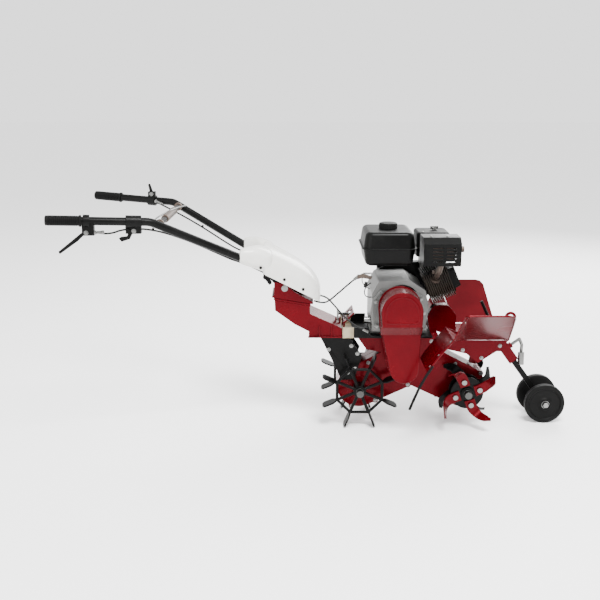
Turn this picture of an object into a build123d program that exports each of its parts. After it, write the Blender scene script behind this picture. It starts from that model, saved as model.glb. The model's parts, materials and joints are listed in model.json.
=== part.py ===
"""Mini cultivator: a walk-behind petrol tiller on two lugged wheels, with a front tine rotor.

Frame: +X forwards (away from the operator), +Y to the far side, +Z up, ground at Z = 0.
X = 0 is half way along the machine, Y = 0 its middle plane. Sizes are in millimetres.
"""

import os
from math import cos, pi, radians, sin

from build123d import *

os.makedirs("parts", exist_ok=True)

# ---------------------------------------------------------------- driving dimensions
FRONT_END = 789.0            # X of the support wheels' front edge
GRIP_END = -789.0            # X of the grips' free ends
GRIP_SPREAD = 300.0          # half the distance between the two grips at their ends
GRIP_HEIGHT = 702.0          # Z of the grips
AXLE_HEIGHT = 120.0          # Z of the rear axle and of the rotor axle
REAR_AXLE_X = 119.0
ROTOR_X = 460.0
HUB_X, HUB_Z = 289.0, 205.0  # where the two legs of the gearbox meet
CRANK_X, CRANK_Z = 244.0, 411.0
ENGINE_BASE_Z = 305.0
COVER_PLANE_Y = -90.0        # joint between the crankcase and its cover
SWIVEL_X, SWIVEL_Z = -96.0, 410.0
SWIVEL_TILT = 9.6            # lean of the swivel axis towards the front, degrees
TILT_X, TILT_Z = -120.0, 452.0
RUN = 0.05                   # radial running clearance of a shaft in its bearing
GAP = 0.5                    # clearance between pieces that move past each other

# gearbox
CASE_HALF = 40.0             # half the width of the gearbox
LEG_END_R = 70.0
LEG_TOP_R = 74.0
CASE_WALL = 7.0
CASE_TOP_Z = 298.0
BLOCK_HALF = 82.0            # half the length of the square top block
AXLE_R = 12.5
AXLE_STUB = 20.0             # free end of each axle, outside its hub
AXLE_STUB_R = 11.5           # the free ends are turned down to a shoulder
INPUT_R = 10.0
BEARING_R = 26.0
INPUT_BEARING_R = 18.0
BOSS_R = 38.0                # raised boss round each axle bearing
BOSS_HEIGHT = 6.0
GEAR_MODULE = 2.5
PINION_TEETH, GEAR_TEETH = 12, 24
GEAR_ANGLE = 149.5
CHAIN_PITCH = 12.7

# belt drive
BELT_Y = -145.0
BELT_WIDTH = 15.0
BELT_THICK = 7.0
ENGINE_PULLEY_R = 34.0
DRIVEN_PULLEY_R = 30.0
PULLEY_WIDTH = 20.0
BACK_PLATE_Y = -113.0
COVER_SHEET = 1.8
COVER_TOP_Y = -192.0         # outer face of the cover over the engine pulley
COVER_LOW_Y = -170.0         # outer face of the cover over the driven pulley
COVER_X = 236.0
COVER_TOP_R = 63.0
COVER_TOP_Z = 405.0          # centre of the cover's round top
COVER_FOOT_R = 44.0

# wheels, rotor and support wheels
WHEEL_Y = 84.0
WHEEL_RING_R = 78.0
LUG_TIP_R = 129.5
LUG_COUNT = 8
FLANGE_INNER_Y, FLANGE_OUTER_Y = 68.0, 104.0
TINE_TIP_R = 119.0
SUPPORT_R = 65.0
SUPPORT_WIDTH = 26.0
SUPPORT_Y = 50.0
SUPPORT_AXLE_R = 7.0
LEG_SIZE = 18.0              # square bar of the depth leg

# handlebars
TUBE_R = 12.0
GRIP_R = 15.0
GRIP_LENGTH = 100.0
BEND = (-503.0, 228.0, 687.0)
ENTRY = (-255.0, 112.0, 560.0)
TUBE_FOOT = (-168.0, 62.0, 505.0)

# values that follow from the driving dimensions
SUPPORT_X = FRONT_END - SUPPORT_R
INPUT_DISTANCE = GEAR_MODULE * (PINION_TEETH + GEAR_TEETH) / 2
INPUT_X = HUB_X + INPUT_DISTANCE * cos(radians(GEAR_ANGLE))
INPUT_Z = HUB_Z + INPUT_DISTANCE * sin(radians(GEAR_ANGLE))
SIDES = (-1, 1)              # near side, far side


# ---------------------------------------------------------------- helpers
def side(y):
    """The XZ plane at this Y: local x is X, local y is Z, and it faces the near side."""
    return Plane.XZ.offset(-y)


def y_rod(x, z, y_from, y_to, radius, mode=Mode.ADD):
    """A round bar along Y."""
    with Locations((x, (y_from + y_to) / 2, z)):
        Cylinder(radius, abs(y_to - y_from), rotation=(90, 0, 0), mode=mode)


def z_rod(x, y, z_from, z_to, radius, mode=Mode.ADD):
    """A round bar along Z."""
    with Locations((x, y, (z_from + z_to) / 2)):
        Cylinder(radius, abs(z_to - z_from), mode=mode)


def x_rod(x_from, x_to, y, z, radius, mode=Mode.ADD):
    """A round bar along X."""
    with Locations(((x_from + x_to) / 2, y, z)):
        Cylinder(radius, abs(x_to - x_from), rotation=(0, 90, 0), mode=mode)


def block(low, high, mode=Mode.ADD):
    """A box from its lowest corner to its highest."""
    with Locations([tuple((a + b) / 2 for a, b in zip(low, high))]):
        Box(*(b - a for a, b in zip(low, high)), mode=mode)


def slab(points, y_from, y_to, mode=Mode.ADD):
    """A flat plate: an outline in X and Z, thick from one Y to another."""
    with BuildSketch(side(y_from)) as outline:
        with BuildLine():
            Polyline(*points, close=True)
        make_face()
    extrude(outline.sketch, amount=y_from - y_to, mode=mode)


def bar(start, end, radius, mode=Mode.ADD):
    """A straight round bar between two points."""
    run = Vector(*end) - Vector(*start)
    with BuildSketch(Plane(origin=start, z_dir=run)) as section:
        Circle(radius)
    extrude(section.sketch, amount=run.length, mode=mode)


def bent_bar(points, bends, radius, mode=Mode.ADD):
    """A round bar through points, each corner rounded with its own radius."""
    with BuildLine() as path:
        FilletPolyline(*points, radius=bends)
    with BuildSketch(Plane(origin=path.line @ 0, z_dir=path.line % 0)) as section:
        Circle(radius)
    sweep(section.sketch, path=path.line, mode=mode)


def hull_slab(circles, y_from, y_to, mode=Mode.ADD):
    """A plate round circles (x, z, radius), as a belt drawn tight round them."""
    with BuildSketch(side(y_from)) as outline:
        for x, z, radius in circles:
            with Locations((x, z)):
                Circle(radius)
        make_hull()
    extrude(outline.sketch, amount=y_from - y_to, mode=mode)


def toothed_disc(x, z, y_from, y_to, teeth, pitch_r, tooth, phase=0.0):
    """A gear or sprocket: a disc with tapered teeth half as wide as their spacing."""
    root_r = pitch_r - tooth
    half_root = 0.42 * pi * pitch_r / teeth
    half_tip = 0.22 * pi * pitch_r / teeth
    with BuildSketch(side(y_from)) as outline:
        with Locations((x, z)):
            Circle(root_r)
            with PolarLocations(0, teeth, start_angle=phase):
                Polygon((root_r - 1, -half_root), (root_r - 1, half_root),
                        (pitch_r + tooth * 0.8, half_tip), (pitch_r + tooth * 0.8, -half_tip),
                        align=None)
    extrude(outline.sketch, amount=y_from - y_to)


def turned(x, z, radius, angle):
    """The point at this radius and angle (degrees, from +X towards +Z) about (x, z)."""
    return x + radius * cos(radians(angle)), z + radius * sin(radians(angle))


def write(piece, name):
    """Label a finished piece and write it as one STEP file."""
    piece.part.label = name
    export_step(piece.part, f"parts/{name}.step")


# ---------------------------------------------------------------- gearbox
LEGS = (
    ((REAR_AXLE_X, AXLE_HEIGHT, LEG_END_R), (HUB_X, HUB_Z, LEG_TOP_R)),
    ((ROTOR_X, AXLE_HEIGHT, LEG_END_R), (HUB_X, HUB_Z, LEG_TOP_R)),
)
AXLES = ((REAR_AXLE_X, AXLE_HEIGHT), (ROTOR_X, AXLE_HEIGHT))
CASE_BOLTS = (
    (REAR_AXLE_X - 35, AXLE_HEIGHT + 62), (REAR_AXLE_X + 30, AXLE_HEIGHT + 80),
    (HUB_X - 62, CASE_TOP_Z - 26), (HUB_X + 62, CASE_TOP_Z - 26),
    (ROTOR_X - 30, AXLE_HEIGHT + 76), (ROTOR_X + 54, AXLE_HEIGHT + 44),
    (ROTOR_X + 22, AXLE_HEIGHT - 68), (ROTOR_X - 55, AXLE_HEIGHT - 48),
    (REAR_AXLE_X + 55, AXLE_HEIGHT - 48), (REAR_AXLE_X - 22, AXLE_HEIGHT - 68),
    (HUB_X - 10, HUB_Z - 80),
)
CASE_BOLT_R = 4.0
CASE_BOSS_R = 9.0


def gearbox_half(sign):
    """One half of the inverted-V gearbox, open at the middle plane."""
    with BuildPart() as half:
        for leg in LEGS:
            hull_slab(leg, 0, sign * CASE_HALF)
        block((HUB_X - BLOCK_HALF, min(0, sign * CASE_HALF), HUB_Z - 20),
              (HUB_X + BLOCK_HALF, max(0, sign * CASE_HALF), CASE_TOP_Z))
        inner = sign * (CASE_HALF - CASE_WALL)
        for leg in LEGS:
            hull_slab([(x, z, r - CASE_WALL) for x, z, r in leg], 0, inner, mode=Mode.SUBTRACT)
        for x, z in CASE_BOLTS:
            y_rod(x, z, 0, sign * CASE_HALF, CASE_BOSS_R)
        for x, z in AXLES:
            y_rod(x, z, sign * CASE_HALF, sign * (CASE_HALF + BOSS_HEIGHT), BOSS_R)
            y_rod(x, z, 0, sign * (CASE_HALF + BOSS_HEIGHT - 3), BEARING_R, mode=Mode.SUBTRACT)
            y_rod(x, z, 0, sign * (CASE_HALF + BOSS_HEIGHT), AXLE_R + 2, mode=Mode.SUBTRACT)
        y_rod(INPUT_X, INPUT_Z, 0, sign * CASE_HALF, INPUT_BEARING_R, mode=Mode.SUBTRACT)
        y_rod(HUB_X, HUB_Z, 0, sign * (CASE_HALF - 3), AXLE_R + RUN, mode=Mode.SUBTRACT)
        for x, z in CASE_BOLTS:
            y_rod(x, z, 0, sign * CASE_HALF, CASE_BOLT_R, mode=Mode.SUBTRACT)
            y_rod(x, z, sign * (CASE_HALF - 4), sign * CASE_HALF, CASE_BOSS_R - 2, mode=Mode.SUBTRACT)
    return half


near_case = gearbox_half(-1)
write(near_case, "gearbox_case_near")
far_case = gearbox_half(1)
write(far_case, "gearbox_case_far")

with BuildPart() as bearings:
    for x, z in AXLES:
        for sign in SIDES:
            y_rod(x, z, sign * (CASE_HALF - 11), sign * (CASE_HALF + BOSS_HEIGHT - 3), BEARING_R)
        y_rod(x, z, -CASE_HALF - BOSS_HEIGHT, CASE_HALF + BOSS_HEIGHT, AXLE_R + RUN, mode=Mode.SUBTRACT)
    for sign in SIDES:
        y_rod(INPUT_X, INPUT_Z, sign * (CASE_HALF - 8), sign * CASE_HALF, INPUT_BEARING_R)
    y_rod(INPUT_X, INPUT_Z, -CASE_HALF, CASE_HALF, INPUT_R + RUN, mode=Mode.SUBTRACT)
write(bearings, "gearbox_bearings")

# gear train
PINION_Y = (2.0, 20.0)
with BuildPart() as input_shaft:
    y_rod(INPUT_X, INPUT_Z, BELT_Y - PULLEY_WIDTH / 2 - 6, CASE_HALF - 2, INPUT_R)
    toothed_disc(INPUT_X, INPUT_Z, PINION_Y[0], PINION_Y[1], PINION_TEETH,
                 GEAR_MODULE * PINION_TEETH / 2, GEAR_MODULE, phase=GEAR_ANGLE + 180)
write(input_shaft, "input_shaft")

SMALL_SPROCKETS = {"rear": 8, "rotor": 12}
LARGE_SPROCKETS = {"rear": 25, "rotor": 18}
CHAIN_Y = {"rear": -7.0, "rotor": -19.0}
SPROCKET_WIDTH = 6.0
CHAIN_DEPTH = 4.0


def sprocket_radius(teeth):
    return CHAIN_PITCH / (2 * sin(pi / teeth))


with BuildPart() as countershaft:
    y_rod(HUB_X, HUB_Z, -CASE_HALF + 5, CASE_HALF - 5, AXLE_R)
    toothed_disc(HUB_X, HUB_Z, PINION_Y[0] + 1, PINION_Y[1] - 1, GEAR_TEETH,
                 GEAR_MODULE * GEAR_TEETH / 2, GEAR_MODULE, phase=GEAR_ANGLE + 180 / GEAR_TEETH)
    for leg, teeth in SMALL_SPROCKETS.items():
        toothed_disc(HUB_X, HUB_Z, CHAIN_Y[leg] - SPROCKET_WIDTH / 2, CHAIN_Y[leg] + SPROCKET_WIDTH / 2,
                     teeth, sprocket_radius(teeth), 3.0)
write(countershaft, "countershaft")


with BuildPart() as drive_chains:
    for leg, (x, z) in zip(("rear", "rotor"), AXLES):
        small = sprocket_radius(SMALL_SPROCKETS[leg])
        large = sprocket_radius(LARGE_SPROCKETS[leg])
        for sign in SIDES:
            plate_in = CHAIN_Y[leg] + sign * (SPROCKET_WIDTH / 2 + GAP)
            plate_out = plate_in + sign * 1.5
            hull_slab(((x, z, large + CHAIN_DEPTH), (HUB_X, HUB_Z, small + CHAIN_DEPTH)), plate_in,
                      plate_out)
            hull_slab(((x, z, large - 4), (HUB_X, HUB_Z, small - 3)), plate_in, plate_out,
                      mode=Mode.SUBTRACT)
write(drive_chains, "drive_chains")


def driven_axle(leg, x, z, half_length):
    """A through axle with its chain sprocket inside the leg."""
    teeth = LARGE_SPROCKETS[leg]
    with BuildPart() as axle:
        y_rod(x, z, AXLE_STUB - half_length, half_length - AXLE_STUB, AXLE_R)
        y_rod(x, z, -half_length, half_length, AXLE_STUB_R)
        toothed_disc(x, z, CHAIN_Y[leg] - SPROCKET_WIDTH / 2, CHAIN_Y[leg] + SPROCKET_WIDTH / 2,
                     teeth, sprocket_radius(teeth), 3.0)
    return axle


REAR_AXLE_HALF = WHEEL_Y + 14 + AXLE_STUB
ROTOR_AXLE_HALF = FLANGE_OUTER_Y + 8 + AXLE_STUB
rear_axle = driven_axle("rear", *AXLES[0], REAR_AXLE_HALF)
write(rear_axle, "rear_axle")
rotor_axle = driven_axle("rotor", *AXLES[1], ROTOR_AXLE_HALF)
write(rotor_axle, "rotor_axle")

# ---------------------------------------------------------------- lugged rear wheels
HUB_TUBE_R = 20.0
HUB_TUBE_HALF = 14.0
SPOKE_R = 5.0
RING_ROD_R = 4.5
LUG_WIDTH = 44.0
LUG_THICK = 5.0


def lug_angles():
    """The lugs' angles, with two lowest ones placed evenly about straight down."""
    step = 360 / LUG_COUNT
    return [-90 + step / 2 + step * index for index in range(LUG_COUNT)]


def add_wheel_hub(sign):
    inner_end = sign * (WHEEL_Y - HUB_TUBE_HALF - 22)
    outer_end = sign * (WHEEL_Y + HUB_TUBE_HALF)
    y_rod(REAR_AXLE_X, AXLE_HEIGHT, inner_end, outer_end, HUB_TUBE_R)
    y_rod(REAR_AXLE_X, AXLE_HEIGHT, inner_end, outer_end, AXLE_R, mode=Mode.SUBTRACT)


def add_wheel_ring(sign):
    """The octagonal rod ring and its spokes, welded to the hub."""
    corners = [turned(REAR_AXLE_X, AXLE_HEIGHT, WHEEL_RING_R, angle) for angle in lug_angles()]
    for here, there in zip(corners, corners[1:] + corners[:1]):
        bar((here[0], sign * WHEEL_Y, here[1]), (there[0], sign * WHEEL_Y, there[1]), RING_ROD_R)
    for angle, corner in zip(lug_angles(), corners):
        inner = turned(REAR_AXLE_X, AXLE_HEIGHT, HUB_TUBE_R - 2, angle)
        bar((inner[0], sign * WHEEL_Y, inner[1]), (corner[0], sign * WHEEL_Y, corner[1]), SPOKE_R)
        with Locations((corner[0], sign * WHEEL_Y, corner[1])):
            Sphere(RING_ROD_R + 1.5)


def add_wheel_lugs(sign):
    """Bent paddles, one welded outside each corner of the ring."""
    start = WHEEL_RING_R + 1
    for angle in lug_angles():
        radial = Vector(cos(radians(angle)), 0, sin(radians(angle)))
        origin = Vector(REAR_AXLE_X, sign * WHEEL_Y, AXLE_HEIGHT)
        blade = Plane(origin=origin, x_dir=radial, z_dir=radial.cross(Vector(0, 1, 0)))
        tip = LUG_TIP_R - LUG_THICK / 6
        with BuildSketch(blade) as outline:
            with BuildLine():
                Polyline((start, -9), (start + 14, -LUG_WIDTH / 2), (tip - 6, -LUG_WIDTH / 2),
                         (tip, -LUG_WIDTH / 4), (tip, LUG_WIDTH / 4), (tip - 6, LUG_WIDTH / 2),
                         (start + 14, LUG_WIDTH / 2), (start, 9), close=True)
            make_face()
        extrude(outline.sketch, amount=LUG_THICK / 2, both=True)


with BuildPart() as lug_wheels:
    for sign in SIDES:
        add_wheel_hub(sign)
        add_wheel_ring(sign)
        add_wheel_lugs(sign)
write(lug_wheels, "lug_wheels")

# ---------------------------------------------------------------- tine rotor
FLANGE_R = 52.0
FLANGE_THICK = 6.0
TINE_BOLT_RING = 40.0
TINE_BOLT_R = 5.0
TINE_THICK = 6.0
TINE_WIDTH = 34.0
OUTER_THROW = 46.0           # how far an outer tine's blade reaches out of its plane
INNER_THROW = 18.0
TINE_BEND_R = 16.0
TINES_PER_FLANGE = 4
TINE_ANGLE = 18.0            # direction of the first tine
SLEEVE_R = 20.0
ROTOR_SLEEVE_Y = 50.0

with BuildPart() as rotor_hubs:
    for sign in SIDES:
        y_rod(ROTOR_X, AXLE_HEIGHT, sign * ROTOR_SLEEVE_Y, sign * (FLANGE_OUTER_Y + 8), SLEEVE_R)
        for flange_y in (FLANGE_INNER_Y, FLANGE_OUTER_Y):
            y_rod(ROTOR_X, AXLE_HEIGHT, sign * (flange_y - FLANGE_THICK), sign * flange_y, FLANGE_R)
            for index in range(TINES_PER_FLANGE):
                bolt_x, bolt_z = turned(ROTOR_X, AXLE_HEIGHT, TINE_BOLT_RING, TINE_ANGLE + 90 * index)
                y_rod(bolt_x, bolt_z, sign * (flange_y - FLANGE_THICK), sign * flange_y, TINE_BOLT_R,
                      mode=Mode.SUBTRACT)
        y_rod(ROTOR_X, AXLE_HEIGHT, sign * ROTOR_SLEEVE_Y, sign * (FLANGE_OUTER_Y + 8), AXLE_R,
              mode=Mode.SUBTRACT)
write(rotor_hubs, "rotor_hubs")


def tine_plane(angle, sign):
    """A plane through the rotor's axis: local x runs out along the tine, local y outwards."""
    radial = Vector(cos(radians(angle)), 0, sin(radians(angle)))
    outwards = Vector(0, sign, 0)
    return Plane(origin=(ROTOR_X, 0, AXLE_HEIGHT), x_dir=radial, z_dir=radial.cross(outwards))


def tine_set(face, throw, first_angle):
    """Four bent tines on each flange: a flat root bolted on, and a blade turned to one side."""
    middle = face + TINE_THICK / 2
    reach = TINE_TIP_R - TINE_THICK / 2 - 1
    with BuildPart() as tines:
        for sign in SIDES:
            for index in range(TINES_PER_FLANGE):
                angle = first_angle + 90 * index
                with BuildLine(tine_plane(angle, sign)) as path:
                    FilletPolyline((22, middle), (reach, middle), (reach, middle + throw),
                                   radius=TINE_BEND_R)
                tangent = path.line % 0
                with BuildSketch(Plane(origin=path.line @ 0, x_dir=(0, 1, 0), z_dir=tangent)) as section:
                    Rectangle(TINE_THICK, TINE_WIDTH)
                sweep(section.sketch, path=path.line)
                bolt_x, bolt_z = turned(ROTOR_X, AXLE_HEIGHT, TINE_BOLT_RING, angle)
                y_rod(bolt_x, bolt_z, sign * (face - 1), sign * (face + TINE_THICK + 1), TINE_BOLT_R,
                      mode=Mode.SUBTRACT)
    return tines


inner_tines = tine_set(FLANGE_INNER_Y, -INNER_THROW - TINE_THICK, TINE_ANGLE)
write(inner_tines, "tines_inner")
outer_tines = tine_set(FLANGE_OUTER_Y, OUTER_THROW, TINE_ANGLE)
write(outer_tines, "tines_outer")

with BuildPart() as tine_bolts:
    for sign in SIDES:
        for flange_y in (FLANGE_INNER_Y, FLANGE_OUTER_Y):
            for index in range(TINES_PER_FLANGE):
                x, z = turned(ROTOR_X, AXLE_HEIGHT, TINE_BOLT_RING, TINE_ANGLE + 90 * index)
                inside = flange_y - FLANGE_THICK
                outside = flange_y + TINE_THICK
                y_rod(x, z, sign * inside, sign * outside, TINE_BOLT_R)
                y_rod(x, z, sign * outside, sign * (outside + 7), 8.0)
                y_rod(x, z, sign * (inside - 5), sign * inside, 8.0)
write(tine_bolts, "tine_bolts")

# ---------------------------------------------------------------- belt drive
SHAFT_R = 9.5
COVER_STEP_TOP_Z = 361.0
COVER_STEP_LOW_Z = 331.0
COVER_LOW_HALF = 59.5


def cover_outline(grow):
    """The belt cover's outline, grown or shrunk by a wall."""
    return ((COVER_X, COVER_TOP_Z, COVER_TOP_R + grow), (COVER_X + 1, COVER_STEP_LOW_Z + 20,
            COVER_LOW_HALF + grow), (INPUT_X - 1, INPUT_Z - 9, COVER_FOOT_R + grow))


with BuildPart() as belt_cover:
    outline = cover_outline(0)
    hull_slab(outline, BACK_PLATE_Y, COVER_LOW_Y)
    hull_slab(outline[:2], COVER_LOW_Y, COVER_TOP_Y)
    slab([(COVER_X - 90, COVER_STEP_TOP_Z), (COVER_X + 90, COVER_STEP_TOP_Z),
          (COVER_X + 90, 200), (COVER_X - 90, 200)], COVER_LOW_Y, COVER_TOP_Y, mode=Mode.SUBTRACT)
    with BuildSketch(Plane.YZ.offset(COVER_X - COVER_TOP_R)) as step:
        with BuildLine():
            Polyline((COVER_LOW_Y, COVER_STEP_LOW_Z), (COVER_TOP_Y, COVER_STEP_TOP_Z),
                     (COVER_LOW_Y, COVER_STEP_TOP_Z), close=True)
        make_face()
    extrude(step.sketch, amount=2 * COVER_TOP_R)
    inner = cover_outline(-COVER_SHEET)
    hull_slab(inner, BACK_PLATE_Y, COVER_LOW_Y + COVER_SHEET, mode=Mode.SUBTRACT)
    y_rod(*inner[0][:2], COVER_LOW_Y + COVER_SHEET, COVER_TOP_Y + COVER_SHEET, inner[0][2],
          mode=Mode.SUBTRACT)
write(belt_cover, "belt_cover")

FLYWHEEL_Y = 104.0
with BuildPart() as crankshaft:
    y_rod(CRANK_X, CRANK_Z, BELT_Y - PULLEY_WIDTH / 2 - 14, FLYWHEEL_Y + 20, SHAFT_R)
    y_rod(CRANK_X, CRANK_Z, COVER_PLANE_Y + 20, COVER_PLANE_Y + 90, 40)
    y_rod(CRANK_X, CRANK_Z, FLYWHEEL_Y, FLYWHEEL_Y + 16, 70)
    for angle in range(0, 360, 30):
        x, z = turned(CRANK_X, CRANK_Z, 54, angle)
        blade = Plane(origin=(x, FLYWHEEL_Y + 16, z), x_dir=(cos(radians(angle)), 0, sin(radians(angle))),
                      z_dir=(0, 1, 0))
        with BuildSketch(blade) as fin:
            Rectangle(26, 3)
        extrude(fin.sketch, amount=9)
write(crankshaft, "crankshaft")


def pulley(x, z, radius, bore):
    """A single-groove V pulley."""
    with BuildPart() as wheel:
        y_rod(x, z, BELT_Y - PULLEY_WIDTH / 2, BELT_Y + PULLEY_WIDTH / 2, radius)
        with BuildSketch(Plane(origin=(x, BELT_Y, z), x_dir=(1, 0, 0), z_dir=(0, 0, 1))) as groove:
            with BuildLine():
                Polyline((radius - BELT_THICK - 2, -BELT_WIDTH / 2 + 1),
                         (radius + 1, -BELT_WIDTH / 2), (radius + 1, BELT_WIDTH / 2),
                         (radius - BELT_THICK - 2, BELT_WIDTH / 2 - 1), close=True)
            make_face()
        revolve(groove.sketch, axis=Axis((x, BELT_Y, z), (0, 1, 0)), mode=Mode.SUBTRACT)
        y_rod(x, z, BELT_Y - PULLEY_WIDTH, BELT_Y + PULLEY_WIDTH, bore, mode=Mode.SUBTRACT)
    return wheel


engine_pulley = pulley(CRANK_X, CRANK_Z, ENGINE_PULLEY_R, SHAFT_R)
write(engine_pulley, "engine_pulley")
driven_pulley = pulley(INPUT_X, INPUT_Z, DRIVEN_PULLEY_R, INPUT_R)
write(driven_pulley, "driven_pulley")

with BuildPart() as drive_belt:
    outside = ((CRANK_X, CRANK_Z, ENGINE_PULLEY_R), (INPUT_X, INPUT_Z, DRIVEN_PULLEY_R))
    hull_slab(outside, BELT_Y + BELT_WIDTH / 2 - 1.5, BELT_Y - BELT_WIDTH / 2 + 1.5)
    hull_slab([(x, z, r - BELT_THICK + 1) for x, z, r in outside],
              BELT_Y + BELT_WIDTH / 2, BELT_Y - BELT_WIDTH / 2, mode=Mode.SUBTRACT)
write(drive_belt, "drive_belt")

IDLER_R = 11.0
IDLER_X = (CRANK_X - ENGINE_PULLEY_R + INPUT_X - DRIVEN_PULLEY_R) / 2 - IDLER_R - 3
IDLER_Z = 318.0
ARM_PIVOT_X, ARM_PIVOT_Z = IDLER_X + 10, IDLER_Z - 46
ARM_THICK = 4.0
ARM_Y = BELT_Y + PULLEY_WIDTH / 2 + 8
STUD_R = 4.0
with BuildPart() as back_plate:
    hull_slab(cover_outline(3), BACK_PLATE_Y + 3, BACK_PLATE_Y)
    y_rod(CRANK_X, CRANK_Z, BACK_PLATE_Y - 1, BACK_PLATE_Y + 4, SHAFT_R + 12, mode=Mode.SUBTRACT)
    y_rod(INPUT_X, INPUT_Z, BACK_PLATE_Y - 1, BACK_PLATE_Y + 4, INPUT_R + 6, mode=Mode.SUBTRACT)
    y_rod(ARM_PIVOT_X, ARM_PIVOT_Z, BACK_PLATE_Y, ARM_Y - ARM_THICK - 2, STUD_R)
write(back_plate, "belt_back_plate")

with BuildPart() as tension_arm:
    hull_slab(((IDLER_X, IDLER_Z, 8), (ARM_PIVOT_X, ARM_PIVOT_Z, 7)), ARM_Y, ARM_Y - ARM_THICK)
    y_rod(IDLER_X, IDLER_Z, ARM_Y - ARM_THICK, BELT_Y - BELT_WIDTH / 2, IDLER_R)
    y_rod(ARM_PIVOT_X, ARM_PIVOT_Z, ARM_Y + 1, ARM_Y - ARM_THICK - 1, STUD_R + RUN, mode=Mode.SUBTRACT)
write(tension_arm, "tension_arm")

# ---------------------------------------------------------------- engine
ENGINE_BASE_THICK = 12.0
CYLINDER_ANGLE = 23.0
CASE_OUTLINE = ((152, 322), (152, 440), (172, 480), (268, 484), (318, 452), (330, 400), (322, 330),
                (300, ENGINE_BASE_Z + ENGINE_BASE_THICK), (190, ENGINE_BASE_Z + ENGINE_BASE_THICK))
BED_BOLTS = [(x, y) for x in (175.0, 305.0) for y in (-45.0, 45.0)]
BED_BOLT_R = 4.2

with BuildPart() as crankcase:
    slab(CASE_OUTLINE, 92, COVER_PLANE_Y)
    fillet(crankcase.edges().filter_by(Axis.Y), radius=8)
    block((150, -62, ENGINE_BASE_Z), (330, 62, ENGINE_BASE_Z + ENGINE_BASE_THICK))
    y_rod(CRANK_X, CRANK_Z, COVER_PLANE_Y - 1, 84, 58, mode=Mode.SUBTRACT)
    y_rod(CRANK_X, CRANK_Z, 80, 95, SHAFT_R + RUN, mode=Mode.SUBTRACT)
    for x, y in BED_BOLTS:
        z_rod(x, y, ENGINE_BASE_Z - 1, ENGINE_BASE_Z + ENGINE_BASE_THICK + 20, BED_BOLT_R, mode=Mode.SUBTRACT)
write(crankcase, "crankcase")

CRANK_COVER_Y = -110.0
COVER_BOLTS = ((168, 340), (163, 418), (184, 446), (268, 450), (303, 426), (314, 382), (306, 338))
RAISED_R = 38.0              # raised boss round the crankshaft
COVER_OUTLINE = ((154, 330), (148, 385), (152, 424), (178, 457), (268, 459), (314, 434), (328, 390),
                 (318, 328), (236, 321))
with BuildPart() as crankcase_cover:
    slab(COVER_OUTLINE, COVER_PLANE_Y, COVER_PLANE_Y - 7)
    fillet(crankcase_cover.edges().filter_by(Axis.Y), radius=9)
    hull_slab(((CRANK_X, CRANK_Z, RAISED_R), (212, 360, 28), (276, 360, 26)), COVER_PLANE_Y - 7,
              CRANK_COVER_Y + 4)
    y_rod(CRANK_X, CRANK_Z, CRANK_COVER_Y + 4, CRANK_COVER_Y, 34)
    y_rod(CRANK_X, CRANK_Z, COVER_PLANE_Y + 1, CRANK_COVER_Y - 1, SHAFT_R + RUN, mode=Mode.SUBTRACT)
    with Locations(*[(x, COVER_PLANE_Y - 5, z) for x, z in COVER_BOLTS]):
        Cylinder(8, 10, rotation=(90, 0, 0))
write(crankcase_cover, "crankcase_cover")

CYL_DIR = Vector(cos(radians(CYLINDER_ANGLE)), 0, sin(radians(CYLINDER_ANGLE)))
CYL_SIDE = Vector(0, 1, 0)
CYL_Y = -4.0


def cylinder_plane(distance):
    """A plane across the cylinder at this distance from the crankshaft."""
    origin = Vector(CRANK_X, CYL_Y, CRANK_Z) + CYL_DIR * distance
    return Plane(origin=origin, x_dir=CYL_SIDE, z_dir=CYL_DIR)


FIN_START, FIN_PITCH, FIN_THICK, FIN_COUNT = 92.0, 6.6, 2.4, 12
HEAD_END = FIN_START + FIN_PITCH * FIN_COUNT
with BuildPart() as cylinder:
    with BuildSketch(cylinder_plane(FIN_START)) as barrel:
        RectangleRounded(82, 78, 20)
    extrude(barrel.sketch, amount=HEAD_END - FIN_START)
    for index in range(FIN_COUNT):
        with BuildSketch(cylinder_plane(FIN_START + FIN_PITCH * index + 3)) as fin:
            RectangleRounded(116, 104, 14)
        extrude(fin.sketch, amount=FIN_THICK)
write(cylinder, "cylinder")

with BuildPart() as valve_cover:
    with BuildSketch(cylinder_plane(HEAD_END)) as rim:
        RectangleRounded(104, 84, 12)
    extrude(rim.sketch, amount=4)
    with BuildSketch(cylinder_plane(HEAD_END + 4)) as dome:
        RectangleRounded(92, 72, 14)
    extrude(dome.sketch, amount=20, taper=8)
write(valve_cover, "valve_cover")

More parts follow.
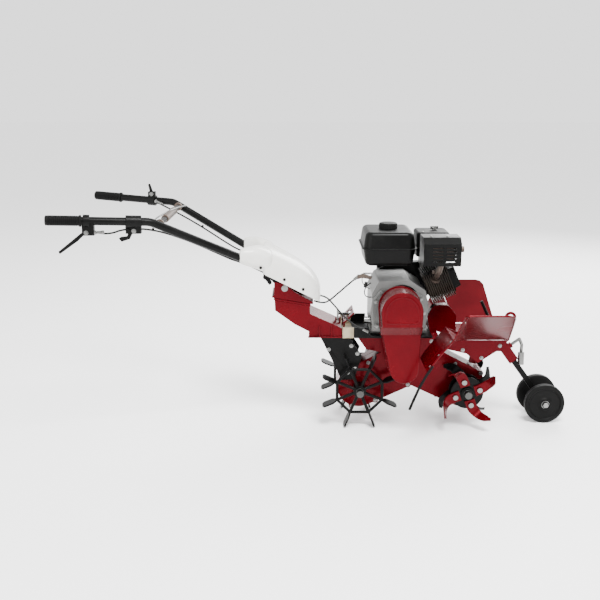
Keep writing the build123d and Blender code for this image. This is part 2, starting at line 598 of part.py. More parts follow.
TANK_LOW = (123.0, -98.0, 528.0)
TANK_HIGH = (285.0, 98.0, 633.0)
TANK_SEAM_Z = 581.0
TANK_TAPER = 9.0             # how far the sides lean in from the seam, degrees
CAP_X, CAP_Y = 206.0, 0.0
with BuildPart() as fuel_tank:
    with BuildSketch(Plane.XY.offset(TANK_SEAM_Z)) as waist:
        with Locations(((TANK_LOW[0] + TANK_HIGH[0]) / 2, 0)):
            RectangleRounded(TANK_HIGH[0] - TANK_LOW[0], TANK_HIGH[1] - TANK_LOW[1], 30)
    extrude(waist.sketch, amount=TANK_HIGH[2] - TANK_SEAM_Z, taper=TANK_TAPER)
    extrude(waist.sketch, amount=TANK_LOW[2] - TANK_SEAM_Z, taper=TANK_TAPER)
    fillet(fuel_tank.faces().sort_by(Axis.Z)[-1].edges(), radius=14)
    fillet(fuel_tank.faces().sort_by(Axis.Z)[0].edges(), radius=14)
    with BuildSketch(Plane.XY.offset(TANK_SEAM_Z)) as seam:
        with Locations(((TANK_LOW[0] + TANK_HIGH[0]) / 2, 0)):
            RectangleRounded(TANK_HIGH[0] - TANK_LOW[0] + 9, TANK_HIGH[1] - TANK_LOW[1] + 9, 28)
    extrude(seam.sketch, amount=2.5)
    with BuildSketch(Plane.XY.offset(TANK_LOW[2] + 16)) as hollow:
        with Locations(((TANK_LOW[0] + TANK_HIGH[0]) / 2, 0)):
            RectangleRounded(TANK_HIGH[0] - TANK_LOW[0] - 32, TANK_HIGH[1] - TANK_LOW[1] - 32, 18)
    extrude(hollow.sketch, amount=TANK_HIGH[2] - TANK_LOW[2] - 32, mode=Mode.SUBTRACT)
    z_rod(CAP_X, CAP_Y, TANK_HIGH[2] - 20, TANK_HIGH[2] + 4, 20)
    z_rod(CAP_X, CAP_Y, TANK_HIGH[2] - 22, TANK_HIGH[2] + 5, 17, mode=Mode.SUBTRACT)
write(fuel_tank, "fuel_tank")

CAP_RADIUS = 29.0
with BuildPart() as fuel_cap:
    z_rod(CAP_X, CAP_Y, TANK_HIGH[2] + GAP, TANK_HIGH[2] + 18, CAP_RADIUS)
    fillet(fuel_cap.faces().sort_by(Axis.Z)[-1].edges(), radius=5)
    z_rod(CAP_X, CAP_Y, TANK_HIGH[2], TANK_HIGH[2] + 12, 20 + GAP, mode=Mode.SUBTRACT)
    with Locations((CAP_X, CAP_Y, TANK_HIGH[2] + 10)):
        with PolarLocations(CAP_RADIUS + 1, 24):
            Cylinder(2.0, 16, mode=Mode.SUBTRACT)
write(fuel_cap, "fuel_cap")

GUARD_LOW = (304.0, -120.0, 534.0)
GUARD_HIGH = (419.0, -30.0, 620.0)
GUARD_FRONT_TOP = 603.0
with BuildPart() as muffler:
    block((316, -108, 544), (404, -44, 596))
    fillet(muffler.edges(), radius=12)
    x_rod(400, 436, -62, 577, 9.5)
    x_rod(420, 437, -62, 577, 7.5, mode=Mode.SUBTRACT)
    bent_bar([(354, -70, 507), (360, -86, 524), (362, -86, 548)], [10], 7.5)
    block((340, -72, 500), (370, -62.5, 512))
write(muffler, "muffler")

with BuildPart() as muffler_guard:
    profile = ((GUARD_LOW[1], GUARD_LOW[2]), (GUARD_LOW[1], GUARD_FRONT_TOP),
               (GUARD_LOW[1] + 22, GUARD_HIGH[2]), (GUARD_HIGH[1], GUARD_HIGH[2]),
               (GUARD_HIGH[1], GUARD_LOW[2]))
    for inset, mode in ((0, Mode.ADD), (2, Mode.SUBTRACT)):
        with BuildSketch(Plane.YZ.offset(GUARD_LOW[0] + inset)) as section:
            with BuildLine():
                Polyline(*profile, close=True)
            make_face()
            if inset:
                offset(amount=-inset, kind=Kind.INTERSECTION)
        extrude(section.sketch, amount=GUARD_HIGH[0] - GUARD_LOW[0] - 2 * inset, mode=mode)
    block((GUARD_LOW[0] + 2, GUARD_HIGH[1] - 3, GUARD_LOW[2] + 2),
          (GUARD_HIGH[0] - 2, GUARD_HIGH[1] + 1, GUARD_HIGH[2] - 2), mode=Mode.SUBTRACT)
    block((GUARD_LOW[0] + 30, GUARD_LOW[1] + 20, GUARD_LOW[2] - 1),
          (GUARD_HIGH[0] - 8, GUARD_HIGH[1], GUARD_LOW[2] + 3), mode=Mode.SUBTRACT)
    y_span = (GUARD_LOW[1] - 1, GUARD_LOW[1] + 3)
    for column in (0.38, 0.74):
        for row in range(5):
            centre = GUARD_LOW[0] + column * (GUARD_HIGH[0] - GUARD_LOW[0])
            low = GUARD_LOW[2] + 12 + 10.5 * row
            block((centre - 16, y_span[0], low), (centre + 16, y_span[1], low + 3.2),
                  mode=Mode.SUBTRACT)
    x_rod(GUARD_HIGH[0] - 4, GUARD_HIGH[0] + 1, -62, 577, 11, mode=Mode.SUBTRACT)
write(muffler_guard, "muffler_guard")

AIR_LOW = (300.0, 4.0, 540.0)
AIR_HIGH = (404.0, 112.0, 618.0)
with BuildPart() as air_cleaner:
    block(AIR_LOW, AIR_HIGH)
    fillet(air_cleaner.edges().filter_by(Axis.Z), radius=16)
    fillet(air_cleaner.faces().sort_by(Axis.Z)[-1].edges(), radius=8)
    with BuildSketch(Plane.XY.offset(AIR_LOW[2] + 26)) as lip:
        with Locations(((AIR_LOW[0] + AIR_HIGH[0]) / 2, (AIR_LOW[1] + AIR_HIGH[1]) / 2)):
            RectangleRounded(AIR_HIGH[0] - AIR_LOW[0] + 5, AIR_HIGH[1] - AIR_LOW[1] + 5, 18)
    extrude(lip.sketch, amount=4)
write(air_cleaner, "air_cleaner")

WING_NUT = (361.0, 58.0)
CHOKE_X, CHOKE_Z, CHOKE_PIN_R = 326.0, 532.0, 3.0
with BuildPart() as carburettor:
    block((318, 58, 505), (358, 100, 540))
    z_rod(338, 79, 482, 505, 18)
    y_rod(338, 522, 52, 58, 16)
    y_rod(CHOKE_X, CHOKE_Z, 80, 101, CHOKE_PIN_R + RUN, mode=Mode.SUBTRACT)
write(carburettor, "carburettor")

with BuildPart() as choke_lever:
    y_rod(CHOKE_X, CHOKE_Z, 82, 105, CHOKE_PIN_R)
    y_rod(CHOKE_X, CHOKE_Z, 100 + GAP, 105, 6)
    block((CHOKE_X - 26, 100 + GAP, CHOKE_Z - 2.5), (CHOKE_X, 105, CHOKE_Z + 2.5))
    block((CHOKE_X - 30, 100 + GAP, CHOKE_Z - 4), (CHOKE_X - 24, 112, CHOKE_Z + 4))
write(choke_lever, "choke_lever")

SHROUD_Y = 100.0
SHROUD_OUT_Y = SHROUD_Y + 34
with BuildPart() as fan_shroud:
    head = Vector(CRANK_X, 0, CRANK_Z) + CYL_DIR * (HEAD_END - 34)
    outline = ((CRANK_X, CRANK_Z, 88), (head.X, head.Z, 44))
    hull_slab(outline, SHROUD_Y, SHROUD_OUT_Y)
    hull_slab([(x, z, r - 2.5) for x, z, r in outline], SHROUD_Y + 2, SHROUD_OUT_Y - 2.5,
              mode=Mode.SUBTRACT)
    y_rod(CRANK_X, CRANK_Z, SHROUD_Y - 1, SHROUD_Y + 3, 30, mode=Mode.SUBTRACT)
    y_rod(CRANK_X, CRANK_Z, SHROUD_OUT_Y - 4, SHROUD_OUT_Y + 1, 60, mode=Mode.SUBTRACT)
    for sign in SIDES:
        y_rod(CRANK_X + sign * 50, CRANK_Z - 56, 92, SHROUD_Y, 6)
        y_rod(CRANK_X + sign * 50, CRANK_Z + 50, 92, SHROUD_Y, 6)
write(fan_shroud, "fan_shroud")

RECOIL_Y = SHROUD_OUT_Y
RECOIL_R = 76.0
with BuildPart() as recoil_starter:
    y_rod(CRANK_X, CRANK_Z, RECOIL_Y, RECOIL_Y + 26, RECOIL_R)
    fillet(recoil_starter.faces().sort_by(Axis.Y)[-1].edges(), radius=8)
    y_rod(CRANK_X, CRANK_Z, RECOIL_Y, RECOIL_Y + 23, RECOIL_R - 3, mode=Mode.SUBTRACT)
    for angle in range(0, 360, 20):
        x, z = turned(CRANK_X, CRANK_Z, 52, angle)
        y_rod(x, z, RECOIL_Y + 20, RECOIL_Y + 27, 5, mode=Mode.SUBTRACT)
    block((CRANK_X - 58, RECOIL_Y, CRANK_Z + 40), (CRANK_X - 24, RECOIL_Y + 26, CRANK_Z + 84))
    z_rod(CRANK_X - 41, RECOIL_Y + 13, CRANK_Z + 40, CRANK_Z + 85, 3.5, mode=Mode.SUBTRACT)
write(recoil_starter, "recoil_starter")

ROPE_X, ROPE_Y = CRANK_X - 41, RECOIL_Y + 13
GRIP_SEAT_Z = CRANK_Z + 84
with BuildPart() as starter_grip:
    z_rod(ROPE_X, ROPE_Y, GRIP_SEAT_Z + GAP, GRIP_SEAT_Z + 14, 8)
    with Locations((ROPE_X, ROPE_Y, GRIP_SEAT_Z + 20)):
        Cylinder(8, 64, rotation=(0, 90, 0))
write(starter_grip, "starter_grip")


# ---------------------------------------------------------------- engine bed, arm and swivel housing
BED_LOW_Z = CASE_TOP_Z
BED_BACK_X, BED_FRONT_X = 62.0, 345.0
BED_HALF = 92.0
RAIL_END_X = 146.0
RAIL_TOP_Z = 332.0
ARM_HALF = 60.0
SHEET = 4.0

with BuildPart() as engine_bed:
    block((BED_BACK_X, -BED_HALF, BED_LOW_Z), (BED_FRONT_X, BED_HALF, ENGINE_BASE_Z))
    for sign in SIDES:
        low_y, high_y = sorted((sign * (BED_HALF - 8), sign * BED_HALF))
        block((BED_BACK_X, low_y, ENGINE_BASE_Z), (RAIL_END_X, high_y, RAIL_TOP_Z))
    for x, y in BED_BOLTS:
        z_rod(x, y, BED_LOW_Z - 1, ENGINE_BASE_Z + 1, BED_BOLT_R, mode=Mode.SUBTRACT)
write(engine_bed, "engine_bed")

SWIVEL_UP = Vector(sin(radians(SWIVEL_TILT)), 0, cos(radians(SWIVEL_TILT)))
SWIVEL_ALONG = Vector(cos(radians(SWIVEL_TILT)), 0, -sin(radians(SWIVEL_TILT)))
SWIVEL_PIN_R = 16.0
SWIVEL_PLATE = 6.0
SWIVEL_LENGTH, SWIVEL_WIDTH = 118.0, 2 * ARM_HALF


def swivel_plane(height):
    """A plane across the swivel axis, this far above the flange joint."""
    origin = Vector(SWIVEL_X, 0, SWIVEL_Z) + SWIVEL_UP * height
    return Plane(origin=origin, x_dir=SWIVEL_ALONG, z_dir=SWIVEL_UP)


def swivel_plate(low, high, length, width, mode=Mode.ADD):
    with BuildSketch(swivel_plane(low)) as outline:
        Rectangle(length, width)
    extrude(outline.sketch, amount=high - low, mode=mode)


def swivel_rod(low, high, radius, mode=Mode.ADD):
    with BuildSketch(swivel_plane(low)) as outline:
        Circle(radius)
    extrude(outline.sketch, amount=high - low, mode=mode)


ARM_LOW_Z = 296.0
SHIFT_X, SHIFT_Z, SHIFT_PIN_R = 50.0, 331.0, 4.0     # gear lever pivot
HOUSING = ((-152, 413), (-151, 380), (-88, 334), (-44, 311), (-40, 394))
HOUSING_HOLLOW = ((-147, 405), (-147, 384), (-90, 340), (-40, 314), (-40, 388))
ARM = ((-44, ARM_LOW_Z), (BED_BACK_X, ARM_LOW_Z), (BED_BACK_X, 320), (39, 333), (-34, 366), (-44, 372))
ARM_HOLLOW = ((-60, ARM_LOW_Z - 5), (BED_BACK_X + 1, ARM_LOW_Z - 5), (BED_BACK_X + 1, 316),
              (38, 329), (-36, 361), (-60, 366))
with BuildPart() as handle_arm:
    slab(HOUSING, ARM_HALF, -ARM_HALF)
    slab(ARM, ARM_HALF, -ARM_HALF)
    slab(ARM_HOLLOW, ARM_HALF - SHEET, -ARM_HALF + SHEET, mode=Mode.SUBTRACT)
    slab(HOUSING_HOLLOW, ARM_HALF - SHEET, -ARM_HALF + SHEET, mode=Mode.SUBTRACT)
    swivel_plate(0, 40, 2 * SWIVEL_LENGTH, 2 * SWIVEL_WIDTH, mode=Mode.SUBTRACT)
    swivel_plate(-SWIVEL_PLATE, 0, SWIVEL_LENGTH, SWIVEL_WIDTH)
    swivel_rod(-24, -SWIVEL_PLATE, SWIVEL_PIN_R + 8)
    swivel_rod(-25, 1, SWIVEL_PIN_R + RUN, mode=Mode.SUBTRACT)
    for sign in SIDES:
        low_y, high_y = sorted((sign * (ARM_HALF - SHEET), sign * (ARM_HALF + 9)))
        block((-46, low_y, ARM_LOW_Z - SHEET), (BED_BACK_X, high_y, ARM_LOW_Z))
        for rib_x in (-12.0, 26.0):
            low_y, high_y = sorted((sign * ARM_HALF, sign * (ARM_HALF + 8)))
            block((rib_x, low_y, ARM_LOW_Z), (rib_x + SHEET, high_y, 330))
    block((BED_BACK_X - 18, -ARM_HALF, ARM_LOW_Z), (BED_BACK_X, ARM_HALF, ARM_LOW_Z + SHEET))
    for lug_x in (SHIFT_X - 8, SHIFT_X + 4):
        block((lug_x, -7, 318), (lug_x + SHEET, 7, SHIFT_Z + 13))
    x_rod(SHIFT_X - 9, SHIFT_X + 9, 0, SHIFT_Z + 6, SHIFT_PIN_R + RUN, mode=Mode.SUBTRACT)
write(handle_arm, "handle_arm")

CHEEK_IN, CHEEK_OUT = 53.5, 58.5
TILT_BOLT_R = 6.0
with BuildPart() as swivel_bracket:
    swivel_plate(GAP, GAP + SWIVEL_PLATE, SWIVEL_LENGTH + 14, 2 * CHEEK_OUT)
    swivel_rod(-26, GAP, SWIVEL_PIN_R)
    swivel_rod(-31, -24 - GAP, SWIVEL_PIN_R + 5)
    for sign in SIDES:
        slab([(-154, 424), (-153, 472), (-120, 466), (-90, 440), (-33, 408), (-33, 404)],
             sign * CHEEK_IN, sign * CHEEK_OUT)
    y_rod(TILT_X, TILT_Z, -CHEEK_OUT - 1, CHEEK_OUT + 1, TILT_BOLT_R, mode=Mode.SUBTRACT)
write(swivel_bracket, "swivel_bracket")

with BuildPart() as tilt_bolt:
    y_rod(TILT_X, TILT_Z, -CHEEK_OUT - 8, CHEEK_OUT + 8, TILT_BOLT_R)
    for sign in SIDES:
        y_rod(TILT_X, TILT_Z, sign * CHEEK_OUT, sign * (CHEEK_OUT + 6), 10)
write(tilt_bolt, "tilt_bolt")

LOCK_X, LOCK_Z, LOCK_PIN_R = -182.0, 478.0, 4.0
LOCK_LUG_IN, LOCK_LUG_OUT = 10.5, 16.0
GUARD_IN, GUARD_OUT = 52.0, 56.0
GUARD_BOLTS = ((105, 186), (82, 172))
with BuildPart() as guard_plates:
    for sign in SIDES:
        slab([(-7, 291), (87, 288), (127, 228), (103, 150), (62, 146), (24, 229)],
             sign * GUARD_IN, sign * GUARD_OUT)
        for x, z in GUARD_BOLTS:
            y_rod(x, z, sign * CASE_HALF, sign * GUARD_IN, 9)
    block((-7, -GUARD_OUT, ARM_LOW_Z - 2 * SHEET), (BED_BACK_X + 24, GUARD_OUT, ARM_LOW_Z - SHEET))
write(guard_plates, "guard_plates")

# gear gate: a sloping slotted plate on two feet, and the lever that works in its slot
GATE_LOW = Vector(69, 0, 337)
GATE_HIGH = Vector(99, 0, 369)
GATE_WIDTH, GATE_THICK = 100.0, 4.0
GATE_SLOT_HALF, GATE_SLOT_HEIGHT = 24.0, 20.0
gate_run = GATE_HIGH - GATE_LOW
gate_middle = Plane(origin=(GATE_LOW + GATE_HIGH) * 0.5, x_dir=(0, 1, 0),
                    z_dir=gate_run.cross(Vector(0, 1, 0)))
with BuildPart() as gear_gate:
    with BuildSketch(gate_middle) as plate:
        Rectangle(GATE_WIDTH, gate_run.length)
        Rectangle(2 * GATE_SLOT_HALF, GATE_SLOT_HEIGHT, mode=Mode.SUBTRACT)
        for slot_y in (-16, 16):
            with Locations((slot_y, 10)):
                Rectangle(11, 18, mode=Mode.SUBTRACT)
        with Locations((0, -10)):
            Rectangle(11, 18, mode=Mode.SUBTRACT)
    extrude(plate.sketch, amount=GATE_THICK / 2, both=True)
    for sign in SIDES:
        low_y, high_y = sorted((sign * 40, sign * 50))
        block((66, low_y, ENGINE_BASE_Z), (71, high_y, 340))
write(gear_gate, "gear_gate")

with BuildPart() as shift_lever:
    x_rod(SHIFT_X - 8, SHIFT_X + 8, 0, SHIFT_Z + 6, SHIFT_PIN_R)
    block((SHIFT_X - 3, -8, SHIFT_Z + 2), (SHIFT_X + 3, 8, SHIFT_Z + 34))
    bar((SHIFT_X, 0, SHIFT_Z + 24), (SHIFT_X + 56, 0, SHIFT_Z + 22), 4.0)
write(shift_lever, "shift_lever")

# ---------------------------------------------------------------- fender
WING_IN_Y, WING_OUT_Y = 101.0, 250.0
FOLD_Z, WING_TOP_Z = 294.0, 412.0
FOLD_BACK_X, FOLD_FRONT_X = 448.0, 583.0
TOP_BACK_X, TOP_FRONT_X = 414.0, 566.0
ARCH_POINTS = ((383, 335), (348, 293), (323, 259), (308, 235))
STEEL = 2.5
HUMP_HALF = 14.0             # the thick humped plate in front of the engine
HUMP_OUTLINE = ((347, CASE_TOP_Z), (338, 346), (354, 384), (404, 388), (432, 352), (430, 312),
                (398, CASE_TOP_Z))
HUMP_CORNERS = [2, 8, 22, 26, 22, 8, 4]


with BuildPart() as fender_arch:
    upper = [(x - 1.5, z + 2) for x, z in ARCH_POINTS]
    for sign in SIDES:
        slab(list(ARCH_POINTS) + upper[::-1], sign * WING_IN_Y, sign * WING_OUT_Y)
        slab([upper[0], (430, 318), (FOLD_BACK_X, FOLD_Z), (FOLD_FRONT_X, FOLD_Z), (553, 262),
              (489, 219), (452, 250), (400, 262), (350, 284), upper[1]],
             sign * (WING_IN_Y - STEEL), sign * WING_IN_Y)
    block((FOLD_BACK_X - 28, -WING_IN_Y, FOLD_Z - STEEL), (FOLD_FRONT_X, WING_IN_Y, FOLD_Z))
    with BuildSketch(side(HUMP_HALF)) as outline:
        with BuildLine():
            FilletPolyline(*HUMP_OUTLINE, close=True, radius=HUMP_CORNERS)
        make_face()
    extrude(outline.sketch, amount=2 * HUMP_HALF)
    block((398, -HUMP_HALF, FOLD_Z - STEEL), (432, HUMP_HALF, 314))
    for sign in SIDES:
        arch_in = (upper[0][0], sign * WING_IN_Y, upper[0][1])
        arch_out = (upper[0][0], sign * WING_OUT_Y, upper[0][1])
        fold_in = (FOLD_BACK_X - GAP, sign * WING_IN_Y, FOLD_Z)
        wing_out = (TOP_BACK_X - 3, sign * WING_OUT_Y, WING_TOP_Z - 3)
        for corners in ((arch_in, arch_out, fold_in), (arch_out, wing_out, fold_in)):
            sheet = Face(Wire.make_polygon([Vector(*corner) for corner in corners], close=True))
            extrude(sheet, amount=STEEL / 2, both=True)
write(fender_arch, "fender_arch")

WING_SLOPE = Vector(0, WING_OUT_Y - WING_IN_Y, WING_TOP_Z - FOLD_Z)
with BuildPart() as fender_wings:
    for sign in SIDES:
        along_slope = Vector(0, sign * WING_SLOPE.Y, WING_SLOPE.Z).normalized()
        sheet = Plane(origin=(0, sign * (WING_IN_Y + 1), FOLD_Z + 2), x_dir=(1, 0, 0),
                      z_dir=Vector(1, 0, 0).cross(along_slope))
        with BuildSketch(sheet) as outline:
            with BuildLine():
                FilletPolyline((FOLD_BACK_X, 0), (FOLD_FRONT_X, 0), (TOP_FRONT_X, WING_SLOPE.length - 4),
                               (TOP_BACK_X, WING_SLOPE.length - 4), close=True, radius=[1, 1, 30, 12])
            make_face()
        extrude(outline.sketch, amount=STEEL * (1 if sign > 0 else -1))
write(fender_wings, "fender_wings")

SKID_Y = WING_OUT_Y
SKID_ROUTE = ((323, 259), (306, 232), (284, 190), (270, 155), (257, 121))
skid_outline = [(x - 3.5, z + 1.5) for x, z in SKID_ROUTE]
skid_outline += [(x + 3.5, z - 1.5) for x, z in reversed(SKID_ROUTE)]
with BuildPart() as fender_bars:
    for sign in SIDES:
        slab(skid_outline, sign * SKID_Y, sign * (SKID_Y + 5))
    bar((513, 0, 396), (560, 0, FOLD_Z + 2.4), 5.0)
write(fender_bars, "fender_bars")

# ---------------------------------------------------------------- depth leg and its socket
SOCKET_HALF = 16.0
ELBOW = Vector(590, 0, 247)
LEG_RUN = Vector(SUPPORT_X, 0, SUPPORT_R) - ELBOW
LEG_DIR = LEG_RUN.normalized()
SLEEVE_LENGTH = 62.0
LEG_START = -14.0
CLAMP_AT = 14.0


def leg_plane(distance):
    """A plane across the depth leg, this far down it from the elbow."""
    return Plane(origin=ELBOW + LEG_DIR * distance, x_dir=(0, 1, 0), z_dir=LEG_DIR)


LEG_SIDE = Vector(-LEG_DIR.Z, 0, LEG_DIR.X)      # across the leg, forwards and up
with BuildPart() as leg_socket:
    block((488, -SOCKET_HALF, 247 - SOCKET_HALF), (594, SOCKET_HALF, 247 + SOCKET_HALF))
    with BuildSketch(leg_plane(-8)) as sleeve:
        Rectangle(2 * SOCKET_HALF, 2 * SOCKET_HALF)
    extrude(sleeve.sketch, amount=SLEEVE_LENGTH + 8)
    block((492, -SOCKET_HALF, 247), (520, SOCKET_HALF, FOLD_Z - STEEL))
    slab([(482, 190), (504, 186), (514, 232), (486, 232)], 8, -8)
    bar((588, 0, 262), (606, 0, 326), 5.0)
    with Locations(Location((610, 0, 342), (90, 0, 0))):
        Torus(14, 5)
    clamp_point = ELBOW + LEG_DIR * CLAMP_AT
    bar(tuple(clamp_point), tuple(clamp_point + LEG_SIDE * (SOCKET_HALF + 9)), 10.0)
    bar(tuple(clamp_point), tuple(clamp_point + LEG_SIDE * (SOCKET_HALF + 10)), 5.0 + RUN,
        mode=Mode.SUBTRACT)
    with BuildSketch(leg_plane(-60)) as bore:
        Rectangle(LEG_SIZE + 2 * GAP, LEG_SIZE + 2 * GAP)
    extrude(bore.sketch, amount=SLEEVE_LENGTH + 90, mode=Mode.SUBTRACT)
write(leg_socket, "leg_socket")

with BuildPart() as depth_leg:
    with BuildSketch(leg_plane(LEG_START)) as bar_section:
        Rectangle(LEG_SIZE, LEG_SIZE)
    extrude(bar_section.sketch, amount=LEG_RUN.length - LEG_START + 6)
    y_rod(SUPPORT_X, SUPPORT_R, -SUPPORT_Y - SUPPORT_WIDTH / 2 - 9, SUPPORT_Y + SUPPORT_WIDTH / 2 + 9,
          SUPPORT_AXLE_R)
    for sign in SIDES:
        y_rod(SUPPORT_X, SUPPORT_R, sign * (LEG_SIZE / 2), sign * (SUPPORT_Y - SUPPORT_WIDTH / 2 - 1), 11)
        y_rod(SUPPORT_X, SUPPORT_R, sign * (SUPPORT_Y + SUPPORT_WIDTH / 2 + 1),
              sign * (SUPPORT_Y + SUPPORT_WIDTH / 2 + 9), 11)
write(depth_leg, "depth_leg")

CLAMP_FOOT = clamp_point + LEG_SIDE * (LEG_SIZE / 2 + GAP + 0.5)
CLAMP_HEAD = clamp_point + LEG_SIDE * 56
CRANK_BEND = CLAMP_HEAD + Vector(4, -18, -14)
CRANK_END = CLAMP_HEAD + Vector(2, -24, -38)
CRANK_TIP = CLAMP_HEAD + Vector(2, -28, -78)
with BuildPart() as clamp_crank:
    bar(tuple(CLAMP_FOOT), tuple(CLAMP_HEAD), 5.0)
    with Locations(tuple(CLAMP_HEAD)):
        Sphere(5.0)
    bar(tuple(CLAMP_HEAD), tuple(CRANK_BEND), 5.0)
    with Locations(tuple(CRANK_BEND)):
        Sphere(5.0)
    bar(tuple(CRANK_BEND), tuple(CRANK_END), 5.0)
    bar(tuple(CRANK_END), tuple(CRANK_TIP), 10.0)
write(clamp_crank, "clamp_crank")

for sign, name in zip(SIDES, ("near", "far")):
    with BuildPart() as support_wheel:
        y_rod(SUPPORT_X, SUPPORT_R, sign * (SUPPORT_Y - SUPPORT_WIDTH / 2),
              sign * (SUPPORT_Y + SUPPORT_WIDTH / 2), SUPPORT_R)
        fillet(support_wheel.edges().filter_by(GeomType.CIRCLE), radius=5)
        outer_face = sign * (SUPPORT_Y + SUPPORT_WIDTH / 2)
        y_rod(SUPPORT_X, SUPPORT_R, outer_face - sign * 5, outer_face, SUPPORT_R - 13, mode=Mode.SUBTRACT)
        y_rod(SUPPORT_X, SUPPORT_R, outer_face - sign * 6, outer_face, 18)
        y_rod(SUPPORT_X, SUPPORT_R, 0, sign * 90, SUPPORT_AXLE_R + RUN, mode=Mode.SUBTRACT)
    write(support_wheel, f"support_wheel_{name}")

# ---------------------------------------------------------------- handlebars
GRIP_X = GRIP_END + 4.0


def mirrored(point, sign):
    """A point of the far side, or its mirror image on the near side."""
    return (point[0], sign * point[1], point[2])


GRIP_POINT = (GRIP_X, GRIP_SPREAD, GRIP_HEIGHT)
GRIP_RUN = (Vector(*BEND) - Vector(*GRIP_POINT)).normalized()


def along_grip(distance, sign):
    """A point on a handlebar's centre line, this far from the end of its grip."""
    return mirrored(tuple(Vector(*GRIP_POINT) + GRIP_RUN * distance), sign)


LUG_IN, LUG_OUT = 45.0, 53.0
TUBE_BENDS = [60, 60]


def tube_route(sign):
    """Corners of one handlebar tube, from inside its grip to its foot in the console."""
    return [along_grip(8, sign), mirrored(BEND, sign), mirrored(ENTRY, sign), mirrored(TUBE_FOOT, sign)]


CROSS_X, CROSS_Z = -482.0, 676.0
with BuildPart() as handle_tubes:
    for sign in SIDES:
        bent_bar(tube_route(sign), TUBE_BENDS, TUBE_R)
        hull_slab(((TILT_X, TILT_Z, 15), (TUBE_FOOT[0], TUBE_FOOT[2], 15)), sign * LUG_IN, sign * LUG_OUT)
    y_rod(TILT_X, TILT_Z, -70, 70, TILT_BOLT_R + RUN, mode=Mode.SUBTRACT)
    y_rod(TUBE_FOOT[0], TUBE_FOOT[2], -LUG_IN, LUG_IN, 9)
    for sign in SIDES:
        hull_slab(((LOCK_X, LOCK_Z, 8), (TUBE_FOOT[0], TUBE_FOOT[2], 8)), sign * LOCK_LUG_IN,
                  sign * LOCK_LUG_OUT)
    y_rod(LOCK_X, LOCK_Z, -LOCK_LUG_OUT, LOCK_LUG_OUT, LOCK_PIN_R + RUN, mode=Mode.SUBTRACT)
    bar((CROSS_X, -216, CROSS_Z), (CROSS_X, 216, CROSS_Z), 8.0)
write(handle_tubes, "handle_tubes")

with BuildPart() as grips:
    for sign in SIDES:
        bar(along_grip(0, sign), along_grip(GRIP_LENGTH, sign), GRIP_R)
        bar(along_grip(GRIP_LENGTH - 6, sign), along_grip(GRIP_LENGTH, sign), GRIP_R + 2)
        bar(along_grip(8, sign), along_grip(GRIP_LENGTH + 1, sign), TUBE_R, mode=Mode.SUBTRACT)
write(grips, "grips")

CONSOLE_SHEET = 3.0
CONSOLE = (          # X, low Z, high Z, half width
    (-203, 517, 594, 118), (-150, 489, 572, 108), (-98, 460, 545, 97), (-56, 436, 519, 86),
    (-24, 419, 487, 73), (-6, 402, 452, 56),
)
PRONGS = ((-203, 517, 592, 70, 94), (-258, 541, 585, 107, 42))   # X, low Z, high Z, Y, width


def console_section(x, low, high, centre, width, inset=0.0, drop=0.0, back=0.0):
    top = high - inset
    bottom = low - drop + (inset if not drop else 0)
    with BuildSketch(Plane.YZ.offset(x + back)) as section:
        with Locations((centre, (top + bottom) / 2)):
            RectangleRounded(width - 2 * inset, top - bottom, min(width - 2 * inset, top - bottom) * 0.3)
    return section.sketch


with BuildPart() as console_cover:
    loft([console_section(x, low, high, 0, 2 * half) for x, low, high, half in CONSOLE])
    for sign in SIDES:
        loft([console_section(x, low, high, sign * y, width, back=1 if x > -210 else 0)
              for x, low, high, y, width in PRONGS])
    hollow = [console_section(x, low, high, 0, 2 * half, CONSOLE_SHEET, 30) for x, low, high, half in CONSOLE]
    loft(hollow[:-1], mode=Mode.SUBTRACT)
    for sign in SIDES:
        loft([console_section(x, low, high, sign * y, width, CONSOLE_SHEET, 30 if x > -210 else 0,
                              back=8 if x > -210 else -1)
              for x, low, high, y, width in PRONGS], mode=Mode.SUBTRACT)
        bent_bar(tube_route(sign), TUBE_BENDS, TUBE_R + 1, mode=Mode.SUBTRACT)
write(console_cover, "console_cover")

with BuildPart() as lock_lever:
    y_rod(LOCK_X, LOCK_Z, -LOCK_LUG_OUT, LOCK_LUG_OUT, LOCK_PIN_R)
    slab([(LOCK_X - 8, LOCK_Z + 8), (LOCK_X + 6, LOCK_Z + 8), (LOCK_X + 20, LOCK_Z - 22),
          (LOCK_X + 12, LOCK_Z - 28), (LOCK_X - 2, LOCK_Z - 8)], -10, 10)
write(lock_lever, "lock_lever")

# ---------------------------------------------------------------- hand controls and cables
CLAMP_R = 18.0
CLUTCH_AT, REVERSE_AT, THROTTLE_AT = 113.0, 246.0, 214.0    # along the handlebar from the grip's end
LEVER_PIN_R = 4.0
CLUTCH_DROP = 33.0
clutch_tube = Vector(*along_grip(CLUTCH_AT, -1))
clutch_pivot = clutch_tube - Vector(0, 0, CLUTCH_DROP)
reverse_tube = Vector(*along_grip(REVERSE_AT, -1))
reverse_pivot = reverse_tube - Vector(0, 0, 26)
throttle_tube = Vector(*along_grip(THROTTLE_AT, 1))
throttle_pivot = throttle_tube + Vector(0, 0, 22)

